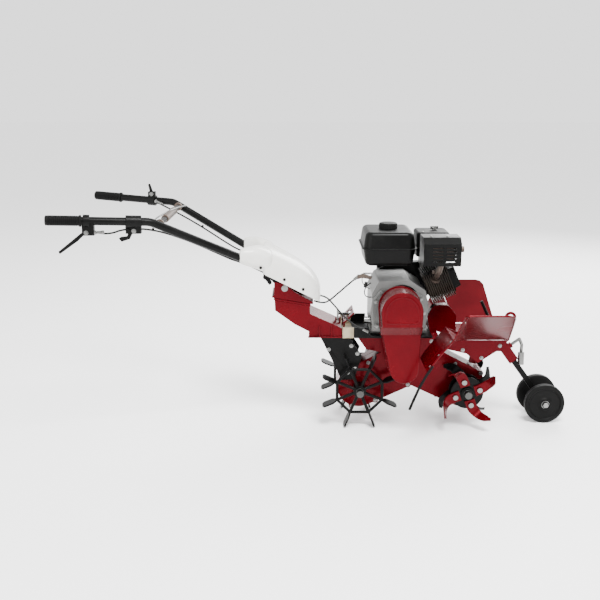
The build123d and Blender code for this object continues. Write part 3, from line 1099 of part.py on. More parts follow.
with BuildPart() as lever_brackets:
    bar(along_grip(CLUTCH_AT - 9, -1), along_grip(CLUTCH_AT + 9, -1), CLAMP_R)
    block((clutch_pivot.X - 12, clutch_pivot.Y - 8, clutch_pivot.Z - 8),
          (clutch_pivot.X + 22, clutch_pivot.Y + 8, clutch_tube.Z))
    block((clutch_pivot.X - 13, clutch_pivot.Y - 3.5, clutch_pivot.Z - 9),
          (clutch_pivot.X + 12, clutch_pivot.Y + 3.5, clutch_pivot.Z + 10), mode=Mode.SUBTRACT)
    bar(along_grip(REVERSE_AT - 24, -1), along_grip(REVERSE_AT + 20, -1), CLAMP_R)
    block((reverse_pivot.X - 24, reverse_pivot.Y - 9, reverse_pivot.Z - 8),
          (reverse_pivot.X + 20, reverse_pivot.Y + 9, reverse_tube.Z))
    block((reverse_pivot.X - 25, reverse_pivot.Y - 4, reverse_pivot.Z - 9),
          (reverse_pivot.X + 8, reverse_pivot.Y + 4, reverse_pivot.Z + 10), mode=Mode.SUBTRACT)
    bar(along_grip(THROTTLE_AT - 13, 1), along_grip(THROTTLE_AT + 13, 1), CLAMP_R)
    block((throttle_pivot.X - 12, throttle_pivot.Y - 14, throttle_tube.Z),
          (throttle_pivot.X + 12, throttle_pivot.Y + 8, throttle_pivot.Z + 8))
    block((throttle_pivot.X - 13, throttle_pivot.Y - 4, throttle_pivot.Z - 7),
          (throttle_pivot.X + 13, throttle_pivot.Y + 2, throttle_pivot.Z + 9), mode=Mode.SUBTRACT)
    for sign in SIDES:
        bar(along_grip(CLUTCH_AT - 60, sign), along_grip(REVERSE_AT + 60, sign), TUBE_R, mode=Mode.SUBTRACT)
    y_rod(clutch_pivot.X, clutch_pivot.Z, clutch_pivot.Y - 8, clutch_pivot.Y + 8, LEVER_PIN_R + RUN,
          mode=Mode.SUBTRACT)
    y_rod(reverse_pivot.X, reverse_pivot.Z, reverse_pivot.Y - 9, reverse_pivot.Y + 9,
          LEVER_PIN_R + RUN, mode=Mode.SUBTRACT)
    y_rod(throttle_pivot.X, throttle_pivot.Z, throttle_pivot.Y - 14, throttle_pivot.Y + 8,
          LEVER_PIN_R + RUN, mode=Mode.SUBTRACT)
write(lever_brackets, "lever_brackets")


def pivoted(pivot, outline, half_width, pin_half):
    """A flat lever on its pin: its outline is given about the pivot."""
    with BuildPart() as lever:
        slab([(pivot.X + dx, pivot.Z + dz) for dx, dz in outline], pivot.Y + half_width,
             pivot.Y - half_width)
        y_rod(pivot.X, pivot.Z, pivot.Y - pin_half, pivot.Y + pin_half, LEVER_PIN_R)
    return lever


clutch_lever = pivoted(clutch_pivot, [(8, 6), (9, -6), (-8, -7), (-26, -24), (-56, -45), (-80, -62),
                                      (-84, -55), (-60, -36), (-32, -14), (-8, 5)], 3.0, 8)
write(clutch_lever, "clutch_lever")
reverse_lever = pivoted(reverse_pivot, [(6, 5), (7, -6), (-6, -8), (-14, -24), (-38, -32), (-46, -22),
                                        (-40, -18), (-22, -16), (-14, 2), (-6, 6)], 3.5, 9)
write(reverse_lever, "reverse_lever")
with BuildPart() as throttle_lever:
    hull_slab(((throttle_pivot.X, throttle_pivot.Z, 5.5),
               (throttle_pivot.X - 8, throttle_pivot.Z + 30, 4)),
              throttle_pivot.Y + 1.5, throttle_pivot.Y - 3.5)
    y_rod(throttle_pivot.X, throttle_pivot.Z, throttle_pivot.Y - 14, throttle_pivot.Y + 8, LEVER_PIN_R)
write(throttle_lever, "throttle_lever")

CABLE_R = 2.8
with BuildPart() as handle_cables:
    start = clutch_pivot + Vector(24, 0, 0)
    middle = Vector(-580, -224, 666)
    bent_bar([tuple(start), tuple((start + middle) * 0.5 - Vector(0, 0, 10)), tuple(middle),
              (-500, -200, 662), (-396, -150, 616), (-290, -104, 556), (-266, -92, 545)],
             [60, 60, 90, 150, 30], CABLE_R)
    far_start = throttle_pivot + Vector(14, -24, -24)
    bent_bar([tuple(far_start), (-500, 198, 662), (-410, 156, 620), (-300, 106, 558), (-268, 92, 545)],
             [80, 120, 40], CABLE_R)
write(handle_cables, "handle_cables")

THROTTLE_END = (112.0, -56.0, 491.0)
CLUTCH_END = (138.0, -100.0, 323.0)
with BuildPart() as lower_cables:
    bent_bar([(-20, -44, 391), (12, -44, 402), (50, -46, 434), (84, -50, 466), THROTTLE_END],
             [90, 90, 90], CABLE_R)
    bent_bar([(-2, -34, 423), (16, -38, 416), (40, -48, 390), (70, -66, 358), (104, -97, 338),
              CLUTCH_END], [24, 60, 60, 40], CABLE_R)
write(lower_cables, "lower_cables")

# ---------------------------------------------------------------- fasteners and plugs
with BuildPart() as chassis_bolts:
    for x, z in CASE_BOLTS:
        y_rod(x, z, -CASE_HALF + 4, CASE_HALF - 4, CASE_BOLT_R)
        for sign in SIDES:
            y_rod(x, z, sign * (CASE_HALF - 4), sign * (CASE_HALF - GAP), CASE_BOSS_R - 2.5)
    for x, z in COVER_BOLTS:
        y_rod(x, z, COVER_PLANE_Y - 10, COVER_PLANE_Y - 15, 5.0)
    for x, y in BED_BOLTS:
        z_rod(x, y, BED_LOW_Z, ENGINE_BASE_Z + ENGINE_BASE_THICK, BED_BOLT_R)
    z_rod(*WING_NUT, AIR_HIGH[2], AIR_HIGH[2] + 9, 6)
    block((WING_NUT[0] - 13, WING_NUT[1] - 2, AIR_HIGH[2] + 3),
          (WING_NUT[0] + 13, WING_NUT[1] + 2, AIR_HIGH[2] + 13))
    x_rod(131, 152, -62, 350, 11)
write(chassis_bolts, "chassis_bolts")
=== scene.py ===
"""Mini cultivator: the visual model, built round the CAD frame.

Frame: +X forwards, +Y to the far side, +Z up, ground at Z = 0. Lengths below are in millimetres and are
turned into metres where meshes are made.
"""

import json
from math import cos, pi, radians, sin

import bmesh
import bpy
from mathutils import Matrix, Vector


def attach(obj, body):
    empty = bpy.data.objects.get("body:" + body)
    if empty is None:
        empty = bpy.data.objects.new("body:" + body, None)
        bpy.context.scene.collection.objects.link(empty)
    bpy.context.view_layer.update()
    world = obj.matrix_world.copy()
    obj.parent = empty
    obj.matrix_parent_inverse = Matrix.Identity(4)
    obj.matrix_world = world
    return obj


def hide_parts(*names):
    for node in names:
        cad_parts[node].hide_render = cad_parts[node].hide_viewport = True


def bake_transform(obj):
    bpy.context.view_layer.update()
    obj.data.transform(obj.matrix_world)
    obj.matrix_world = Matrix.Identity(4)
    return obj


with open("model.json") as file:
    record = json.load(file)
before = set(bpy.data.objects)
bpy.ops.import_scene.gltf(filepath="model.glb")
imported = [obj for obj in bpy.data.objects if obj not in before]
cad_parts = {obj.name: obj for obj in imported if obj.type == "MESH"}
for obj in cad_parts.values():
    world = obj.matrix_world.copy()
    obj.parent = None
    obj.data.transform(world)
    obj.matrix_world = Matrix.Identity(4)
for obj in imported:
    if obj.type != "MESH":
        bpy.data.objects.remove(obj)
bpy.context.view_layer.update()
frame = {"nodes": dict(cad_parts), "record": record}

MM = 0.001
SIDES = (-1, 1)
RECORD = frame["record"]
NODE_SLOT = {entry["node"]: entry["material_slot"] for entry in RECORD["subparts"]}
NODE_BODY = {node: body for body, nodes in RECORD["behaviour"]["bodies"].items() for node in nodes}


# ---------------------------------------------------------------- materials
def noise(nodes, links, coords, scale, detail=4.0):
    """A noise texture in object coordinates."""
    texture = nodes.new("ShaderNodeTexNoise")
    texture.inputs["Scale"].default_value = scale
    texture.inputs["Detail"].default_value = detail
    links.new(coords.outputs["Object"], texture.inputs["Vector"])
    return texture


def material(name, dark, light, rough, metallic=0.0, coat=0.0, grain=500.0, bump=0.05, blotch=9.0,
             dust=None, specular=0.5, tint=(1, 1, 1)):
    """A surface with broad colour and roughness variation, fine grain and settled dust."""
    made = bpy.data.materials.new(name)
    made.use_nodes = True
    nodes, links = made.node_tree.nodes, made.node_tree.links
    shader = nodes["Principled BSDF"]
    shader.inputs["Metallic"].default_value = metallic
    shader.inputs["Specular IOR Level"].default_value = specular
    shader.inputs["Specular Tint"].default_value = (*tint, 1)
    shader.inputs["Coat Weight"].default_value = coat
    shader.inputs["Coat Roughness"].default_value = 0.12
    coords = nodes.new("ShaderNodeTexCoord")
    broad = noise(nodes, links, coords, blotch, 6.0)
    fine = noise(nodes, links, coords, grain, 3.0)
    colours = nodes.new("ShaderNodeValToRGB")
    colours.color_ramp.elements[0].position = 0.36
    colours.color_ramp.elements[1].position = 0.64
    colours.color_ramp.elements[0].color = (*dark, 1)
    colours.color_ramp.elements[1].color = (*light, 1)
    links.new(broad.outputs["Fac"], colours.inputs["Fac"])
    colour = colours.outputs["Color"]
    if dust:
        specks = noise(nodes, links, coords, 60.0, 8.0)
        cover = nodes.new("ShaderNodeMapRange")
        cover.inputs["From Min"].default_value = 0.58
        cover.inputs["From Max"].default_value = 0.78
        cover.inputs["To Max"].default_value = 0.35
        links.new(specks.outputs["Fac"], cover.inputs["Value"])
        mixed = nodes.new("ShaderNodeMixRGB")
        mixed.inputs["Color2"].default_value = (*dust, 1)
        links.new(cover.outputs["Result"], mixed.inputs["Fac"])
        links.new(colour, mixed.inputs["Color1"])
        colour = mixed.outputs["Color"]
    links.new(colour, shader.inputs["Base Color"])
    spread = nodes.new("ShaderNodeMapRange")
    spread.inputs["From Min"].default_value = 0.3
    spread.inputs["From Max"].default_value = 0.7
    spread.inputs["To Min"].default_value = rough[0]
    spread.inputs["To Max"].default_value = rough[1]
    links.new(broad.outputs["Fac"], spread.inputs["Value"])
    links.new(spread.outputs["Result"], shader.inputs["Roughness"])
    relief = nodes.new("ShaderNodeBump")
    relief.inputs["Strength"].default_value = bump
    relief.inputs["Distance"].default_value = 0.001
    links.new(fine.outputs["Fac"], relief.inputs["Height"])
    links.new(relief.outputs["Normal"], shader.inputs["Normal"])
    return made


def greys(*levels):
    """Neutral colours of these brightnesses."""
    return [(level, level, level * 0.97) for level in levels]


MATERIALS = {
    "red_paint": material("red_paint", (0.036, 0.0002, 0.0013), (0.056, 0.0004, 0.0020), (0.2, 0.3),
                          coat=0.04,
                          specular=0.32, tint=(1.0, 0.10, 0.14), grain=260, bump=0.05),
    "black_paint": material("black_paint", *greys(0.0012, 0.0028), (0.3, 0.44), coat=0.02, specular=0.07,
                            grain=320, bump=0.08, dust=(0.008, 0.0075, 0.007)),
    "black_plastic": material("black_plastic", *greys(0.0018, 0.0040), (0.42, 0.58), specular=0.08,
                              grain=900, bump=0.25, dust=(0.009, 0.0085, 0.008)),
    "cast_aluminium": material("cast_aluminium", *greys(0.10, 0.17), (0.38, 0.55), metallic=0.85, grain=1100,
                               bump=0.35, dust=(0.07, 0.065, 0.058)),
    "steel": material("steel", *greys(0.045, 0.09), (0.35, 0.5), metallic=1.0, grain=700, bump=0.1),
    "zinc": material("zinc", *greys(0.13, 0.21), (0.22, 0.38), metallic=1.0, grain=600, bump=0.08),
    "cast_iron": material("cast_iron", *greys(0.016, 0.036), (0.45, 0.6), metallic=0.7, grain=800, bump=0.3),
    "rubber": material("rubber", *greys(0.0018, 0.0045), (0.6, 0.75), specular=0.08, grain=700, bump=0.2),
    "dark_aluminium": material("dark_aluminium", (0.017, 0.013, 0.010), (0.045, 0.034, 0.025), (0.35, 0.55),
                               metallic=0.75, grain=900, bump=0.3),
    "exhaust_steel": material("exhaust_steel", (0.050, 0.037, 0.030), (0.11, 0.082, 0.066), (0.42, 0.62),
                              metallic=0.6, grain=500, bump=0.3, dust=(0.07, 0.03, 0.015)),
    "galvanised": material("galvanised", (0.19, 0.155, 0.10), (0.32, 0.275, 0.18), (0.3, 0.45), metallic=0.7,
                           blotch=40, grain=400, bump=0.1),
    "wheel_rubber": material("wheel_rubber", *greys(0.0018, 0.0042), (0.45, 0.6), specular=0.08, grain=600,
                             bump=0.2, dust=(0.012, 0.0115, 0.0105)),
    "grip_rubber": material("grip_rubber", *greys(0.0014, 0.0032), (0.5, 0.65), specular=0.08, grain=900,
                            bump=0.2),
    "white_plastic": material("white_plastic", (0.60, 0.595, 0.56), (0.66, 0.655, 0.62), (0.24, 0.32),
                              coat=0.25, grain=350, bump=0.03, dust=(0.54, 0.53, 0.49)),
    "cable_sheath": material("cable_sheath", *greys(0.0022, 0.0052), (0.4, 0.55), specular=0.2, grain=1200,
                             bump=0.15),
}


# ---------------------------------------------------------------- mesh helpers
def place(mesh, name, slot, body, replaced=(), smooth=38.0, subdivide=0, solid=0.0):
    """Make a finished piece from a bmesh: its material, shading, body and the nodes it stands for."""
    bmesh.ops.recalc_face_normals(mesh, faces=mesh.faces)
    data = bpy.data.meshes.new(name)
    mesh.to_mesh(data)
    mesh.free()
    for face in data.polygons:
        face.use_smooth = True
    if not subdivide:
        data.set_sharp_from_angle(angle=radians(smooth))
    data.materials.append(MATERIALS[slot])
    piece = bpy.data.objects.new(name, data)
    bpy.context.collection.objects.link(piece)
    if solid:
        shell = piece.modifiers.new("wall", "SOLIDIFY")
        shell.thickness = solid * MM
        shell.offset = -1
    if subdivide:
        piece.modifiers.new("smooth", "SUBSURF").levels = subdivide
        piece.modifiers["smooth"].render_levels = subdivide
    else:
        weighted = piece.modifiers.new("normals", "WEIGHTED_NORMAL")
        weighted.keep_sharp = True
    if replaced:
        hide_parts(*replaced)
    if body:
        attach(piece, body)
    return piece


def rings(mesh, loops, caps=True, closed=True):
    """Skin a row of point loops (millimetres) with quads, and close its two ends."""
    rows = [[mesh.verts.new(Vector(point) * MM) for point in loop] for loop in loops]
    count = len(rows[0])
    span = count if closed else count - 1
    for row, following in zip(rows, rows[1:]):
        for index in range(span):
            after = (index + 1) % count
            mesh.faces.new((row[index], row[after], following[after], following[index]))
    if caps:
        mesh.faces.new(rows[0][::-1])
        mesh.faces.new(rows[-1])


def across(direction):
    """Two unit vectors square to a direction and to each other."""
    along = Vector(direction).normalized()
    helper = Vector((0, 0, 1)) if abs(along.z) < 0.9 else Vector((1, 0, 0))
    first = along.cross(helper).normalized()
    return first, along.cross(first)


def lathe(mesh, start, direction, profile, segments=40):
    """Turn a profile of (distance, radius) round an axis."""
    along = Vector(direction).normalized()
    first, second = across(along)
    loops = []
    for distance, radius in profile:
        centre = Vector(start) + along * distance
        loops.append([centre
                      + (first * cos(2 * pi * step / segments) + second * sin(2 * pi * step / segments))
                      * radius for step in range(segments)])
    rings(mesh, loops)


def eased(points, rounds=3):
    """Cut a route's corners until it runs smoothly, and keep its two ends."""
    route = [Vector(point) for point in points]
    for _ in range(rounds):
        cut = [route[0]]
        for here, there in zip(route, route[1:]):
            cut += [here.lerp(there, 0.25), here.lerp(there, 0.75)]
        route = cut + [route[-1]]
    return route


def tube(mesh, points, radius, segments=12):
    """A round tube along a route, its section carried without twist."""
    route = [Vector(point) for point in points]
    first, _ = across(route[1] - route[0])
    loops = []
    for index, centre in enumerate(route):
        before, after = route[max(index - 1, 0)], route[min(index + 1, len(route) - 1)]
        along = (after - before).normalized()
        first = (first - along * first.dot(along)).normalized()
        second = along.cross(first)
        loops.append([centre
                      + (first * cos(2 * pi * step / segments) + second * sin(2 * pi * step / segments))
                      * radius for step in range(segments)])
    rings(mesh, loops)


def hex_bolt(mesh, at, direction, radius, height):
    """A washer and a chamfered hexagon head."""
    lathe(mesh, at, direction, [(0, radius * 1.35), (height * 0.2, radius * 1.35), (height * 0.24,
                                                                                    radius * 1.25)],
          24)
    along = Vector(direction).normalized()
    lathe(mesh, Vector(at) + along * height * 0.24, direction,
          [(0, radius * 0.94), (height * 0.06, radius), (height * 0.6, radius), (height * 0.76,
                                                                                 radius * 0.84)], 6)


def refined(node, width=0.6, where=None, segments=2, sharp=34.0, smooth=38.0, shortest=2.0, front_of=None,
            behind=None, slot=None):
    """A copy of a CAD node: coplanar faces joined, sharp edges rounded, and cut off at an X if asked."""
    mesh = bmesh.new()
    mesh.from_mesh(frame["nodes"][node].data)
    bmesh.ops.remove_doubles(mesh, verts=mesh.verts, dist=2e-6)
    bmesh.ops.dissolve_limit(mesh, angle_limit=radians(0.6), verts=mesh.verts, edges=mesh.edges)
    chosen = [edge for edge in mesh.edges if len(edge.link_faces) == 2
              and edge.calc_face_angle(0) > radians(sharp) and edge.calc_length() > shortest * width * MM
              and (where is None or all(where(vertex.co / MM) for vertex in edge.verts))]
    if chosen and width:
        bmesh.ops.bevel(mesh, geom=chosen, offset=width * MM, offset_type="OFFSET", segments=segments,
                        profile=0.5, affect="EDGES", clamp_overlap=False)
    for cut, front in ((front_of, False), (behind, True)):
        if cut is not None:
            everything = mesh.verts[:] + mesh.edges[:] + mesh.faces[:]
            bmesh.ops.bisect_plane(mesh, geom=everything, plane_co=(cut * MM, 0, 0), plane_no=(1, 0, 0),
                                   clear_outer=front, clear_inner=not front)
            bmesh.ops.holes_fill(mesh, edges=[edge for edge in mesh.edges if edge.is_boundary])
    ending = "front" if front_of is not None else "finish"
    return place(mesh, f"{node}_{ending}", slot or NODE_SLOT[node], NODE_BODY[node],
                 [] if front_of is not None else [node], smooth)


def along_y(points, y):
    """Points given in X and Z, placed at one Y."""
    return [(x, y, z) for x, z in points]


def turned(x, z, radius, angle):
    """The point at this radius and angle (degrees, from +X towards +Z) about (x, z)."""
    return x + radius * cos(radians(angle)), z + radius * sin(radians(angle))


# ---------------------------------------------------------------- CAD nodes that keep their shape
EDGE_WIDTH = {
    "gearbox_case_near": 1.5, "gearbox_case_far": 1.5, "crankcase": 1.2, "crankcase_cover": 1.2,
    "cylinder": 0.5, "valve_cover": 1.5, "carburettor": 1.2, "fan_shroud": 0.8, "recoil_starter": 0.7,
    "handle_arm": 0.7, "swivel_bracket": 0.8, "guard_plates": 0.8, "gear_gate": 0.5,
    "fender_arch": 0.5, "fender_wings": 0.6, "fender_bars": 1.0, "leg_socket": 1.2, "depth_leg": 1.0,
    "lug_wheels": 0.8, "rotor_hubs": 0.9, "muffler_guard": 0.4, "muffler": 1.0, "air_cleaner": 1.0,
    "lever_brackets": 1.0, "clutch_lever": 1.2, "reverse_lever": 1.2, "throttle_lever": 0.8,
    "handle_tubes": 0.8, "lock_lever": 1.5, "clamp_crank": 1.0, "fuel_tank": 0.5, "fuel_cap": 0.5,
    "starter_grip": 2.0, "tilt_bolt": 0.6, "shift_lever": 0.6, "rear_axle": 0.8, "rotor_axle": 0.8,
    "choke_lever": 0.6, "belt_back_plate": 0.6, "tine_bolts": 0.6, "chassis_bolts": 0.5,
}
for node_name, edge_width in EDGE_WIDTH.items():
    refined(node_name, edge_width)
BED_PAINT_X = 97.0           # the bed is painted in front of this and plain behind it
refined("engine_bed", 0.8, behind=BED_PAINT_X)
refined("engine_bed", 0.8, front_of=BED_PAINT_X, slot="black_paint")
HIDDEN_NODES = ("gearbox_bearings", "input_shaft", "countershaft", "drive_chains", "crankshaft",
                "engine_pulley", "driven_pulley", "drive_belt", "tension_arm")
for node_name in HIDDEN_NODES:
    refined(node_name, 0.0)

# ---------------------------------------------------------------- belt cover
COVER_TOP_Y, COVER_LOW_Y = -192.0, -170.0
COVER_X, COVER_TOP_Z, CRANK_X, CRANK_Z = 236.0, 405.0, 244.0, 411.0


def on_cover_front(point):
    return min(abs(point.y - COVER_TOP_Y), abs(point.y - COVER_LOW_Y)) < 0.3


refined("belt_cover", 1.7, on_cover_front, segments=3, sharp=20.0, shortest=0.0)


def panel_outline(inset):
    """The arched panel pressed into the cover's front: a half circle over a rounded rectangle."""
    half, foot_z, corner = 63.0 - inset, 361.0 + inset, 9.0
    arc = [turned(COVER_X, COVER_TOP_Z, half, angle) for angle in range(0, 181, 12)]
    left = [turned(COVER_X - half + corner, foot_z + corner, corner, angle) for angle in range(180, 271, 15)]
    right = [turned(COVER_X + half - corner, foot_z + corner, corner, angle) for angle in range(270, 361, 15)]
    return arc + left + right


ridge = bmesh.new()
PANEL_LEVELS = ((9, 0.3), (10.5, 1.3), (13, 1.6), (15.5, 1.3), (17, 0.3))   # inset, height of the ridge
ridge_loops = [along_y(panel_outline(inset), COVER_TOP_Y - height) for inset, height in PANEL_LEVELS]
rings(ridge, ridge_loops, caps=False)
place(ridge, "cover_panel_ridge", "red_paint", "chassis")

# the sloping step below the panel, as one unbroken sheet
STEP_LOW_Z, STEP_TOP_Z, STEP_HALF, STEP_LIP = 331.0, 361.0, 56.0, 0.3
STEP_THICK = 1.5
STEP_START, STEP_SHARE = 0.08, 0.84      # where the sheet begins on the slope, and how much it covers
slope = Vector((0, COVER_TOP_Y - COVER_LOW_Y, STEP_TOP_Z - STEP_LOW_Z))
outward = Vector((1, 0, 0)).cross(slope).normalized()
outward = outward if outward.y < 0 else -outward
step_sheet = bmesh.new()
step_loops = []
for x in (COVER_X - STEP_HALF, COVER_X + STEP_HALF):
    foot = Vector((x, COVER_LOW_Y, STEP_LOW_Z)) + slope * STEP_START + outward * STEP_LIP
    head = foot + slope * STEP_SHARE
    step_loops.append([foot, head, head - outward * STEP_THICK, foot - outward * STEP_THICK])
rings(step_sheet, step_loops)
place(step_sheet, "cover_step_sheet", "red_paint", "chassis")

# ---------------------------------------------------------------- console cover
CONSOLE = (          # X, low Z, high Z, half width
    (-190, 510, 589, 115.5), (-176, 503, 584, 113), (-150, 489, 572, 108), (-98, 460, 545, 97),
    (-56, 436, 519, 86), (-30, 421, 494, 75), (-14, 410, 470, 64), (-6, 404, 450, 52),
)
PRONGS = ((-150, 491, 570, 53, 106), (-176, 505, 583, 62, 101), (-203, 517, 592, 70, 93),
          (-216, 524, 591, 84, 76), (-236, 532, 589, 95, 60),
          (-251, 539, 586, 104, 46), (-257, 545, 580, 106, 36))


def arch(x, low, high, half, power=3.0, steps=14):
    """The console's section: upright sides that round over into the top."""
    points = []
    for step in range(steps + 1):
        angle = pi * step / steps - pi / 2
        y = half * (1 if angle > 0 else -1) * abs(sin(angle)) ** (2 / power)
        points.append((x, y, low + (high - low) * abs(cos(angle)) ** (2 / power)))
    return points


def oval(x, low, high, centre, width, power=3.0, steps=20):
    """A closed rounded section of a prong round one handlebar."""
    points = []
    for step in range(steps):
        angle = 2 * pi * step / steps
        across_part = abs(cos(angle)) ** (2 / power) * (1 if cos(angle) >= 0 else -1)
        up_part = abs(sin(angle)) ** (2 / power) * (1 if sin(angle) >= 0 else -1)
        points.append((x, centre + width / 2 * across_part, (low + high) / 2 + (high - low) / 2 * up_part))
    return points


console = bmesh.new()
rings(console, [arch(*station) for station in CONSOLE], caps=True, closed=False)
place(console, "console_shell", "white_plastic", "handlebar", ["console_cover"], subdivide=2, solid=2.6)
for sign in SIDES:
    prong = bmesh.new()
    rings(prong, [oval(x, low, high, sign * y, width) for x, low, high, y, width in PRONGS])
    place(prong, f"console_prong_{'near' if sign < 0 else 'far'}", "white_plastic", "handlebar", subdivide=2)

screws = bmesh.new()
SCREW_STATIONS = ((-192, 529, 116.4), (-120, 489, 102.0), (-62, 455, 88.0))    # X, Z, half width there
for x, z, half in SCREW_STATIONS:
    for sign in SIDES:
        lathe(screws, (x, sign * (half - 2), z), (0, sign, 0),
              [(0, 4.6), (2.4, 4.6), (3.4, 3.6), (3.6, 2.0), (2.6, 1.6)], 20)
place(screws, "console_screws", "black_plastic", "handlebar")

# ---------------------------------------------------------------- handlebars
GRIP_POINT = Vector((-785.0, 300.0, 702.0))
BEND = Vector((-503.0, 228.0, 687.0))
GRIP_LENGTH = 100.0
GRIP_RIBS = 15


def mirrored(point, sign):
    return Vector((point[0], sign * point[1], point[2]))


def along_grip(distance, sign):
    """A point on a handlebar's centre line, this far from the end of its grip."""
    return mirrored(GRIP_POINT + (BEND - GRIP_POINT).normalized() * distance, sign)


def grip_profile():
    """A rounded end, a ribbed barrel and a flange."""
    profile = [(0.0, 4.0), (0.4, 9.0), (2.0, 13.0), (4.5, 14.6)]
    pitch = (GRIP_LENGTH - 18) / GRIP_RIBS
    for rib in range(GRIP_RIBS):
        start = 8 + pitch * rib
        profile += [(start, 13.6), (start + pitch * 0.25, 14.9), (start + pitch * 0.7, 14.9),
                    (start + pitch * 0.95, 13.6)]
    return profile + [(GRIP_LENGTH - 8, 14.0), (GRIP_LENGTH - 6, 16.6), (GRIP_LENGTH - 2, 17.0),
                      (GRIP_LENGTH, 15.5)]


grips = bmesh.new()
for sign in SIDES:
    lathe(grips, along_grip(0, sign), along_grip(50, sign) - along_grip(0, sign), grip_profile(), 36)
place(grips, "grip_pair", "grip_rubber", "handlebar", ["grips"])

CROSS_X, CROSS_Z = -482.0, 676.0
sleeve = bmesh.new()
lathe(sleeve, (CROSS_X, -92, CROSS_Z), (0, 1, 0),
      [(0, 8.3), (0, 11.0), (1.5, 12.0), (182.5, 12.0), (184, 11.0), (184, 8.3)], 32)
for sign in SIDES:
    lathe(sleeve, (CROSS_X, sign * 196, CROSS_Z), (0, -sign, 0),
          [(0, 8.3), (0, 13.5), (8, 13.5), (10, 12), (10, 8.3)],
          28)
place(sleeve, "cross_bar_sleeve", "exhaust_steel", "handlebar")
rod = bmesh.new()
tube(rod, eased([(CROSS_X - 20, -196, CROSS_Z + 6), (CROSS_X - 26, -60, CROSS_Z + 2), (CROSS_X + 8, 40,
                                                                                       CROSS_Z + 14),
                 (CROSS_X + 26, 188, CROSS_Z + 4)]), 2.6)
place(rod, "cross_rod", "zinc", "handlebar")

# levers' pivot bolts and the cables' silver adjusters
CLUTCH_AT, REVERSE_AT, THROTTLE_AT = 113.0, 246.0, 214.0
clutch_pivot = along_grip(CLUTCH_AT, -1) - Vector((0, 0, 33))
reverse_pivot = along_grip(REVERSE_AT, -1) - Vector((0, 0, 26))
throttle_pivot = along_grip(THROTTLE_AT, 1) + Vector((0, 0, 22))
fittings = bmesh.new()
for pivot, half in ((clutch_pivot, 8.0), (reverse_pivot, 9.0)):
    for sign in SIDES:
        hex_bolt(fittings, pivot + Vector((0, sign * half, 0)), (0, sign, 0), 5.0, 4.0)
hex_bolt(fittings, throttle_pivot + Vector((0, -14, 0)), (0, -1, 0), 5.0, 4.5)
for start, way in ((clutch_pivot + Vector((21, 0, 0)), (1, 0.15, 0.02)),
                   (throttle_pivot + Vector((14, -22, -22)), (1, -0.4, -0.4))):
    lathe(fittings, start, way, [(0, 3.2), (0, 5.6), (6, 5.6), (7, 4.0), (20, 4.0), (21, 5.0), (27, 5.0),
                                 (28, 3.2)], 20)
place(fittings, "control_fittings", "zinc", "handlebar")

CABLE_R = 2.8
clutch_start = clutch_pivot + Vector((24, 0, 0))
clutch_middle = Vector((-580, -224, 666))
handle_cables = bmesh.new()
near_route = [clutch_start, (clutch_start + clutch_middle) / 2 - Vector((0, 0, 10)), clutch_middle,
              (-500, -200, 662), (-396, -150, 616), (-290, -104, 556), (-266, -92, 545), (-240, -84, 536)]
far_route = [throttle_pivot + Vector((14, -24, -24)), (-500, 198, 662), (-410, 156, 620), (-300, 106, 558),
             (-268, 92, 545), (-240, 84, 536)]
for route in (near_route, far_route):
    tube(handle_cables, eased(route), CABLE_R)
place(handle_cables, "handle_cable_pair", "cable_sheath", "handlebar", ["handle_cables"])
ties = bmesh.new()
for sign in SIDES:
    for x, y, z in ((-500, 200, 662), (-396, 150, 617)):
        lathe(ties, (x - 3, sign * y, z), (1, -0.4 * sign, -0.45),
              [(0, 3.0), (0, 4.2), (5, 4.2), (5, 3.0)], 20)
place(ties, "cable_ties", "black_plastic", "handlebar")

# ---------------------------------------------------------------- cables between console and engine
THROTTLE_END = (112.0, -56.0, 491.0)
CLUTCH_END = (138.0, -100.0, 323.0)
lower_cables = bmesh.new()
tube(lower_cables,
     eased([(-28, -44, 408), (-10, -44, 402), (14, -44, 402), (50, -46, 434), (84, -50, 466),
            THROTTLE_END], 4),
     CABLE_R)
tube(lower_cables,
     eased([(-12, -34, 424), (14, -38, 418), (40, -48, 390), (70, -66, 358), (104, -97, 338), CLUTCH_END], 4),
     CABLE_R)
cables = place(lower_cables, "console_to_engine_cables", "cable_sheath", None, ["lower_cables"])
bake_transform(cables)

ends = bmesh.new()
lathe(ends, (98, -53, 479), (0.55, -0.1, 0.45),
      [(0, 3.0), (0, 4.6), (15, 4.6), (16, 6.0), (20, 6.0), (20, 3.0)], 20)
lathe(ends, (124, -99, 329), (0.9, -0.05, -0.4), [(0, 3.0), (0, 4.8), (14, 4.8), (15, 6.2), (19, 6.2),
                                                  (19, 3.0)], 20)
tube(ends, eased([(116, -56, 494), (126, -56, 500), (140, -58, 498), (152, -60, 502)]), 1.2, 8)
for turn in range(9):
    lathe(ends, (126 + 3 * turn, -56, 499), (1, 0, 0), [(0, 2.4), (0.4, 3.4), (1.6, 3.4), (2.0, 2.4)], 14)
place(ends, "cable_ends", "zinc", "chassis")

# ---------------------------------------------------------------- tines
ROTOR_X, AXLE_Z = 460.0, 120.0
TINE_ANGLE = 18.0
TINE_STEPS = 14
TINE_PROBE = 0.01            # share of a blade looked ahead and behind for its direction
TINE_SWEEP = 26.0            # how far a blade leans round the rotor, degrees
TINE_ROOT_R, TINE_END_R = 24.0, 110.0


def smoothstep(low, high, value):
    share = min(max((value - low) / (high - low), 0), 1)
    return share * share * (3 - 2 * share)


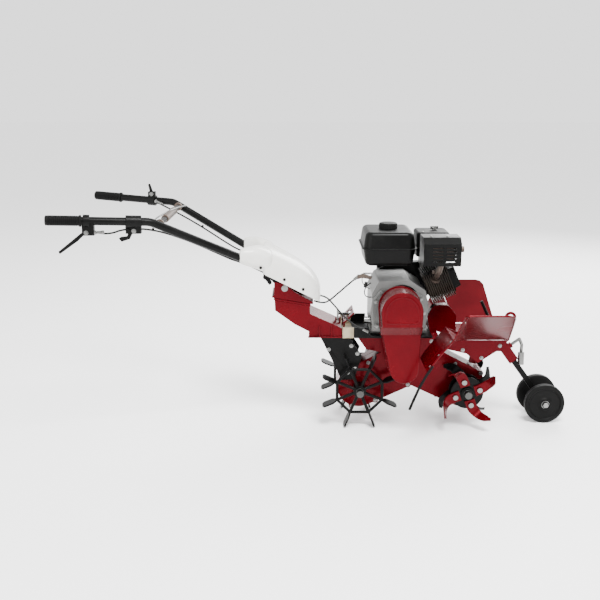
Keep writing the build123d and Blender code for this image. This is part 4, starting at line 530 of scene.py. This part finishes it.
def tine_centre(angle, sign, middle, throw, share):
    """A point on the centre line of a curved tine: it leans round and turns out of its plane."""
    radius = TINE_ROOT_R + (TINE_END_R - TINE_ROOT_R) * (share - 0.10 * smoothstep(0.6, 1, share))
    lean = angle + TINE_SWEEP * share ** 2
    x, z = turned(ROTOR_X, AXLE_Z, radius, lean)
    return Vector((x, sign * (middle + throw * smoothstep(0.45, 1.05, share)), z))


def add_tine(mesh, angle, sign, middle, throw):
    """One forged blade: flat root, curved edge, thinning to a chisel tip."""
    loops = []
    for step in range(TINE_STEPS + 1):
        share = step / TINE_STEPS
        centre = tine_centre(angle, sign, middle, throw, share)
        ahead = tine_centre(angle, sign, middle, throw, share + TINE_PROBE)
        behind = tine_centre(angle, sign, middle, throw, share - TINE_PROBE)
        along = (ahead - behind).normalized()
        spoke = Vector((cos(radians(angle)), 0, sin(radians(angle))))
        wide = Vector((0, 1, 0)).cross(spoke)
        wide = (wide - along * wide.dot(along)).normalized()
        thin = along.cross(wide)
        half_width = 17.0 - 3.0 * smoothstep(0.3, 0.7, share) - 9.0 * smoothstep(0.82, 1.0, share)
        half_thick = 3.0 - 1.7 * smoothstep(0.55, 1.0, share)
        loops.append([centre + wide * half_width * a + thin * half_thick * b
                      for a, b in ((1, 0.35), (0.9, 1), (-0.9, 1), (-1, 0.35), (-1, -0.35), (-0.9, -1),
                                   (0.9, -1),
                                   (1, -0.35))])
    rings(mesh, loops)


for name, node, face, throw, slot_name in (("outer_blades", "tines_outer", 104.0, 40.0, "red_paint"),
                                           ("inner_blades", "tines_inner", 68.0, -20.0, "black_paint")):
    blades = bmesh.new()
    for sign in SIDES:
        for quarter in range(4):
            add_tine(blades, TINE_ANGLE + 90 * quarter, sign, face + 3, throw)
    place(blades, name, slot_name, "tine_rotor", [node])

# ---------------------------------------------------------------- depth wheels
SUPPORT_X, SUPPORT_R, SUPPORT_Y, SUPPORT_HALF = 724.0, 65.0, 50.0, 13.0


def wheel_profile():
    """From the inner face over the tread to the dished outer face and its hub."""
    return [(0, 7.2), (0, 20), (-1.5, 24), (-1.5, 48), (1, 54), (1.5, 60), (4, 64), (7, 65), (11, 64.6),
            (13, 63.6),
            (15, 64.6), (19, 65), (22, 64), (24.5, 60), (25.5, 55), (25, 52), (21, 49), (20,
                                                                                         44), (20,
                                                                                               28), (22, 22),
            (26, 19), (26, 7.2)]


for sign, name in zip(SIDES, ("near", "far")):
    wheel = bmesh.new()
    lathe(wheel, (SUPPORT_X, sign * (SUPPORT_Y - SUPPORT_HALF), SUPPORT_R), (0, sign, 0),
          [(max(0.0, distance), radius) for distance, radius in wheel_profile()], 64)
    place(wheel, f"depth_wheel_{name}", "wheel_rubber", f"support_wheel_{name}", [f"support_wheel_{name}"])
nuts = bmesh.new()
for sign in SIDES:
    outside = sign * (SUPPORT_Y + SUPPORT_HALF + 1)
    lathe(nuts, (SUPPORT_X, outside, SUPPORT_R), (0, sign, 0), [(0, 7.2), (0, 13), (1.5, 13), (2, 12)], 28)
    lathe(nuts, (SUPPORT_X, outside + sign * 2, SUPPORT_R), (0, sign, 0), [(0, 10), (5.5, 10), (7, 8.4)], 6)
place(nuts, "depth_wheel_nuts", "zinc", "depth_leg")

# ---------------------------------------------------------------- engine details
COVER_FACE_Y = -97.0
cover_ribs = bmesh.new()
RIB_EDGE = ((160, 336), (155, 385), (158, 421), (181, 451), (266, 453))
for inset in (0.0, 5.0, 10.0):
    middle = Vector((CRANK_X, 0, CRANK_Z))
    route = []
    for x, z in RIB_EDGE:
        spoke = (Vector((x, 0, z)) - middle).normalized()
        point = Vector((x, COVER_FACE_Y, z)) - spoke * inset
        route.append(point)
    tube(cover_ribs, eased(route, 2), 1.6, 10)
place(cover_ribs, "crankcase_cover_ribs", "cast_aluminium", "chassis")

bolts = bmesh.new()
COVER_BOLTS = ((168, 340), (163, 418), (184, 446), (268, 450), (303, 426), (314, 382), (306, 338))
for x, z in COVER_BOLTS:
    hex_bolt(bolts, (x, -104, z), (0, -1, 0), 4.2, 4.6)
GUARD_BOLTS = ((105, 186), (82, 172), (112, 236), (92, 262), (20, 250))
for x, z in GUARD_BOLTS:
    for sign in SIDES:
        hex_bolt(bolts, (x, sign * 56, z), (0, sign, 0), 4.8, 4.4)
CASE_BOLTS = ((84, 182), (149, 200), (227, 272), (351, 272), (430, 196), (514, 164), (482, 52), (405, 72),
              (174, 72), (97, 52), (279, 125))
for x, z in CASE_BOLTS:
    for sign in SIDES:
        hex_bolt(bolts, (x, sign * 39.4, z), (0, sign, 0), 4.2, 4.2)
ARCH_BOLTS = ((377, 328), (343, 287), (318, 252))
for x, z in ARCH_BOLTS:
    for sign in SIDES:
        hex_bolt(bolts, (x, sign * 236, z), (-0.77, 0, 0.64), 3.8, 3.6)
SIDE_BOLTS = ((440, 262), (500, 236), (556, 276))
for x, z in SIDE_BOLTS:
    for sign in SIDES:
        hex_bolt(bolts, (x, sign * 101, z), (0, sign, 0), 4.6, 4.0)
place(bolts, "bright_bolts", "zinc", "chassis")

gussets = bmesh.new()
GUSSET_INNER_Y, GUSSET_OUTER_Y = 36.0, 41.0
GUSSET = ((104, 299), (214, 299), (214, 232), (141, 246))
for sign in SIDES:
    rings(gussets, [along_y(GUSSET, sign * y) for y in (GUSSET_INNER_Y, GUSSET_OUTER_Y)])
place(gussets, "case_gusset_plates", "red_paint", "chassis")

guard_screws = bmesh.new()
for x in (330, 380):
    lathe(guard_screws, (x, -84, 620), (0, 0, 1), [(0, 5.0), (1.4, 5.0), (2.6, 3.4), (2.6, 1.8), (1.6,
                                                                                                  1.6)], 20)
for x, y in ((318, 20), (388, 96)):
    lathe(guard_screws, (x, y, 617.6), (0, 0, 1), [(0, 4.6), (1.4, 4.6), (2.4, 3.2)], 20)
place(guard_screws, "guard_screws", "zinc", "chassis")

wires = bmesh.new()
tube(wires, eased([(150, -62, 470), (138, -64, 462), (128, -66, 444), (134, -66, 426), (152, -64, 424)]),
     1.7, 10)
tube(wires, eased([(128, -60, 500), (120, -64, 480), (128, -66, 462), (146, -66, 452)]), 1.4, 10)
lathe(wires, (132, -64, 456), (0.2, 0, 1), [(0, 3), (0, 5.5), (16, 5.5), (18, 4), (18, 2)], 16)
place(wires, "engine_wires", "cable_sheath", "chassis")

bracket = bmesh.new()
BRACKET = ((106, 482), (122, 486), (150, 482), (154, 491), (126, 500), (108, 496))
rings(bracket, [along_y(BRACKET, -64), along_y(BRACKET, -66.5)])
place(bracket, "throttle_bracket", "exhaust_steel", "chassis")

# exhaust pipe seen over the fins
pipe = bmesh.new()
tube(pipe, eased([(352, -66, 488), (356, -84, 506), (362, -88, 524), (364, -88, 546)]), 9.0, 20)
lathe(pipe, (350, -64, 480), (0.1, -0.5, 0.85), [(0, 8), (0, 16), (4, 16), (5, 14), (5, 8)], 28)
place(pipe, "exhaust_pipe", "exhaust_steel", "chassis")

# ---------------------------------------------------------------- starter rope
ROPE_X, ROPE_Y, ROPE_LOW, ROPE_HIGH = 203.0, 147.0, 470.0, 500.0
rope = bmesh.new()
rope_points = [(ROPE_X, ROPE_Y, ROPE_LOW + (ROPE_HIGH - ROPE_LOW) * step / 24) for step in range(25)]
tube(rope, rope_points, 2.2, 10)
rope_piece = place(rope, "starter_rope", "cable_sheath", None)
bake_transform(rope_piece)

# ---------------------------------------------------------------- rolled edges of the fender
wing_edges = bmesh.new()
WING_EDGE = ((449, 104, 297), (415, 246, 409), (440, 247, 410), (550, 247, 410), (564, 244, 406),
             (582, 104, 297))
for sign in SIDES:
    tube(wing_edges, eased([(x, sign * y, z) for x, y, z in WING_EDGE], 2), 2.0, 10)
    tube(wing_edges, eased([(382, sign * 249, 336), (347, sign * 249, 294), (322, sign * 249, 260),
                            (307, sign * 249, 236)], 2), 2.2, 10)
place(wing_edges, "fender_rolled_edges", "red_paint", "chassis")

# ---------------------------------------------------------------- floor, light and camera
def stage_material():
    made = bpy.data.materials.new("floor")
    made.use_nodes = True
    made.node_tree.nodes["Principled BSDF"].inputs["Base Color"].default_value = (0.97, 0.97, 0.97, 1)
    made.node_tree.nodes["Principled BSDF"].inputs["Roughness"].default_value = 0.9
    return made


floor_mesh = bmesh.new()
bmesh.ops.create_grid(floor_mesh, x_segments=1, y_segments=1, size=30)
floor_data = bpy.data.meshes.new("floor")
floor_mesh.to_mesh(floor_data)
floor_mesh.free()
floor_data.materials.append(stage_material())
floor = bpy.data.objects.new("floor", floor_data)
bpy.context.collection.objects.link(floor)


def area_light(name, location, target, size, power):
    light = bpy.data.lights.new(name, "AREA")
    light.size, light.energy = size, power
    lamp = bpy.data.objects.new(name, light)
    lamp.location = location
    lamp.rotation_euler = (Vector(target) - Vector(location)).to_track_quat("-Z", "Y").to_euler()
    bpy.context.collection.objects.link(lamp)


area_light("key", (0.6, -1.6, 3.2), (0.1, 0, 0.3), 1.2, 260)
area_light("fill", (-2.4, -2.6, 1.6), (0, 0, 0.4), 2.4, 60)
area_light("back", (1.6, 2.6, 2.2), (0.2, 0, 0.4), 2.0, 170)

world = bpy.data.worlds.new("studio")
world.use_nodes = True
world.node_tree.nodes["Background"].inputs["Color"].default_value = (1, 1, 1, 1)
world.node_tree.nodes["Background"].inputs["Strength"].default_value = 1.9
bpy.context.scene.world = world

CAMERA_PLACE = (-0.072, -2.608, 1.044)
CAMERA_DROP = 13.885         # how far the camera looks down, degrees
camera = bpy.data.objects.new("camera", bpy.data.cameras.new("camera"))
camera.location = CAMERA_PLACE
camera.rotation_euler = (radians(90 - CAMERA_DROP), 0, 0)
camera.data.lens = 50
camera.data.sensor_width = 36
bpy.context.collection.objects.link(camera)
bpy.context.scene.camera = camera
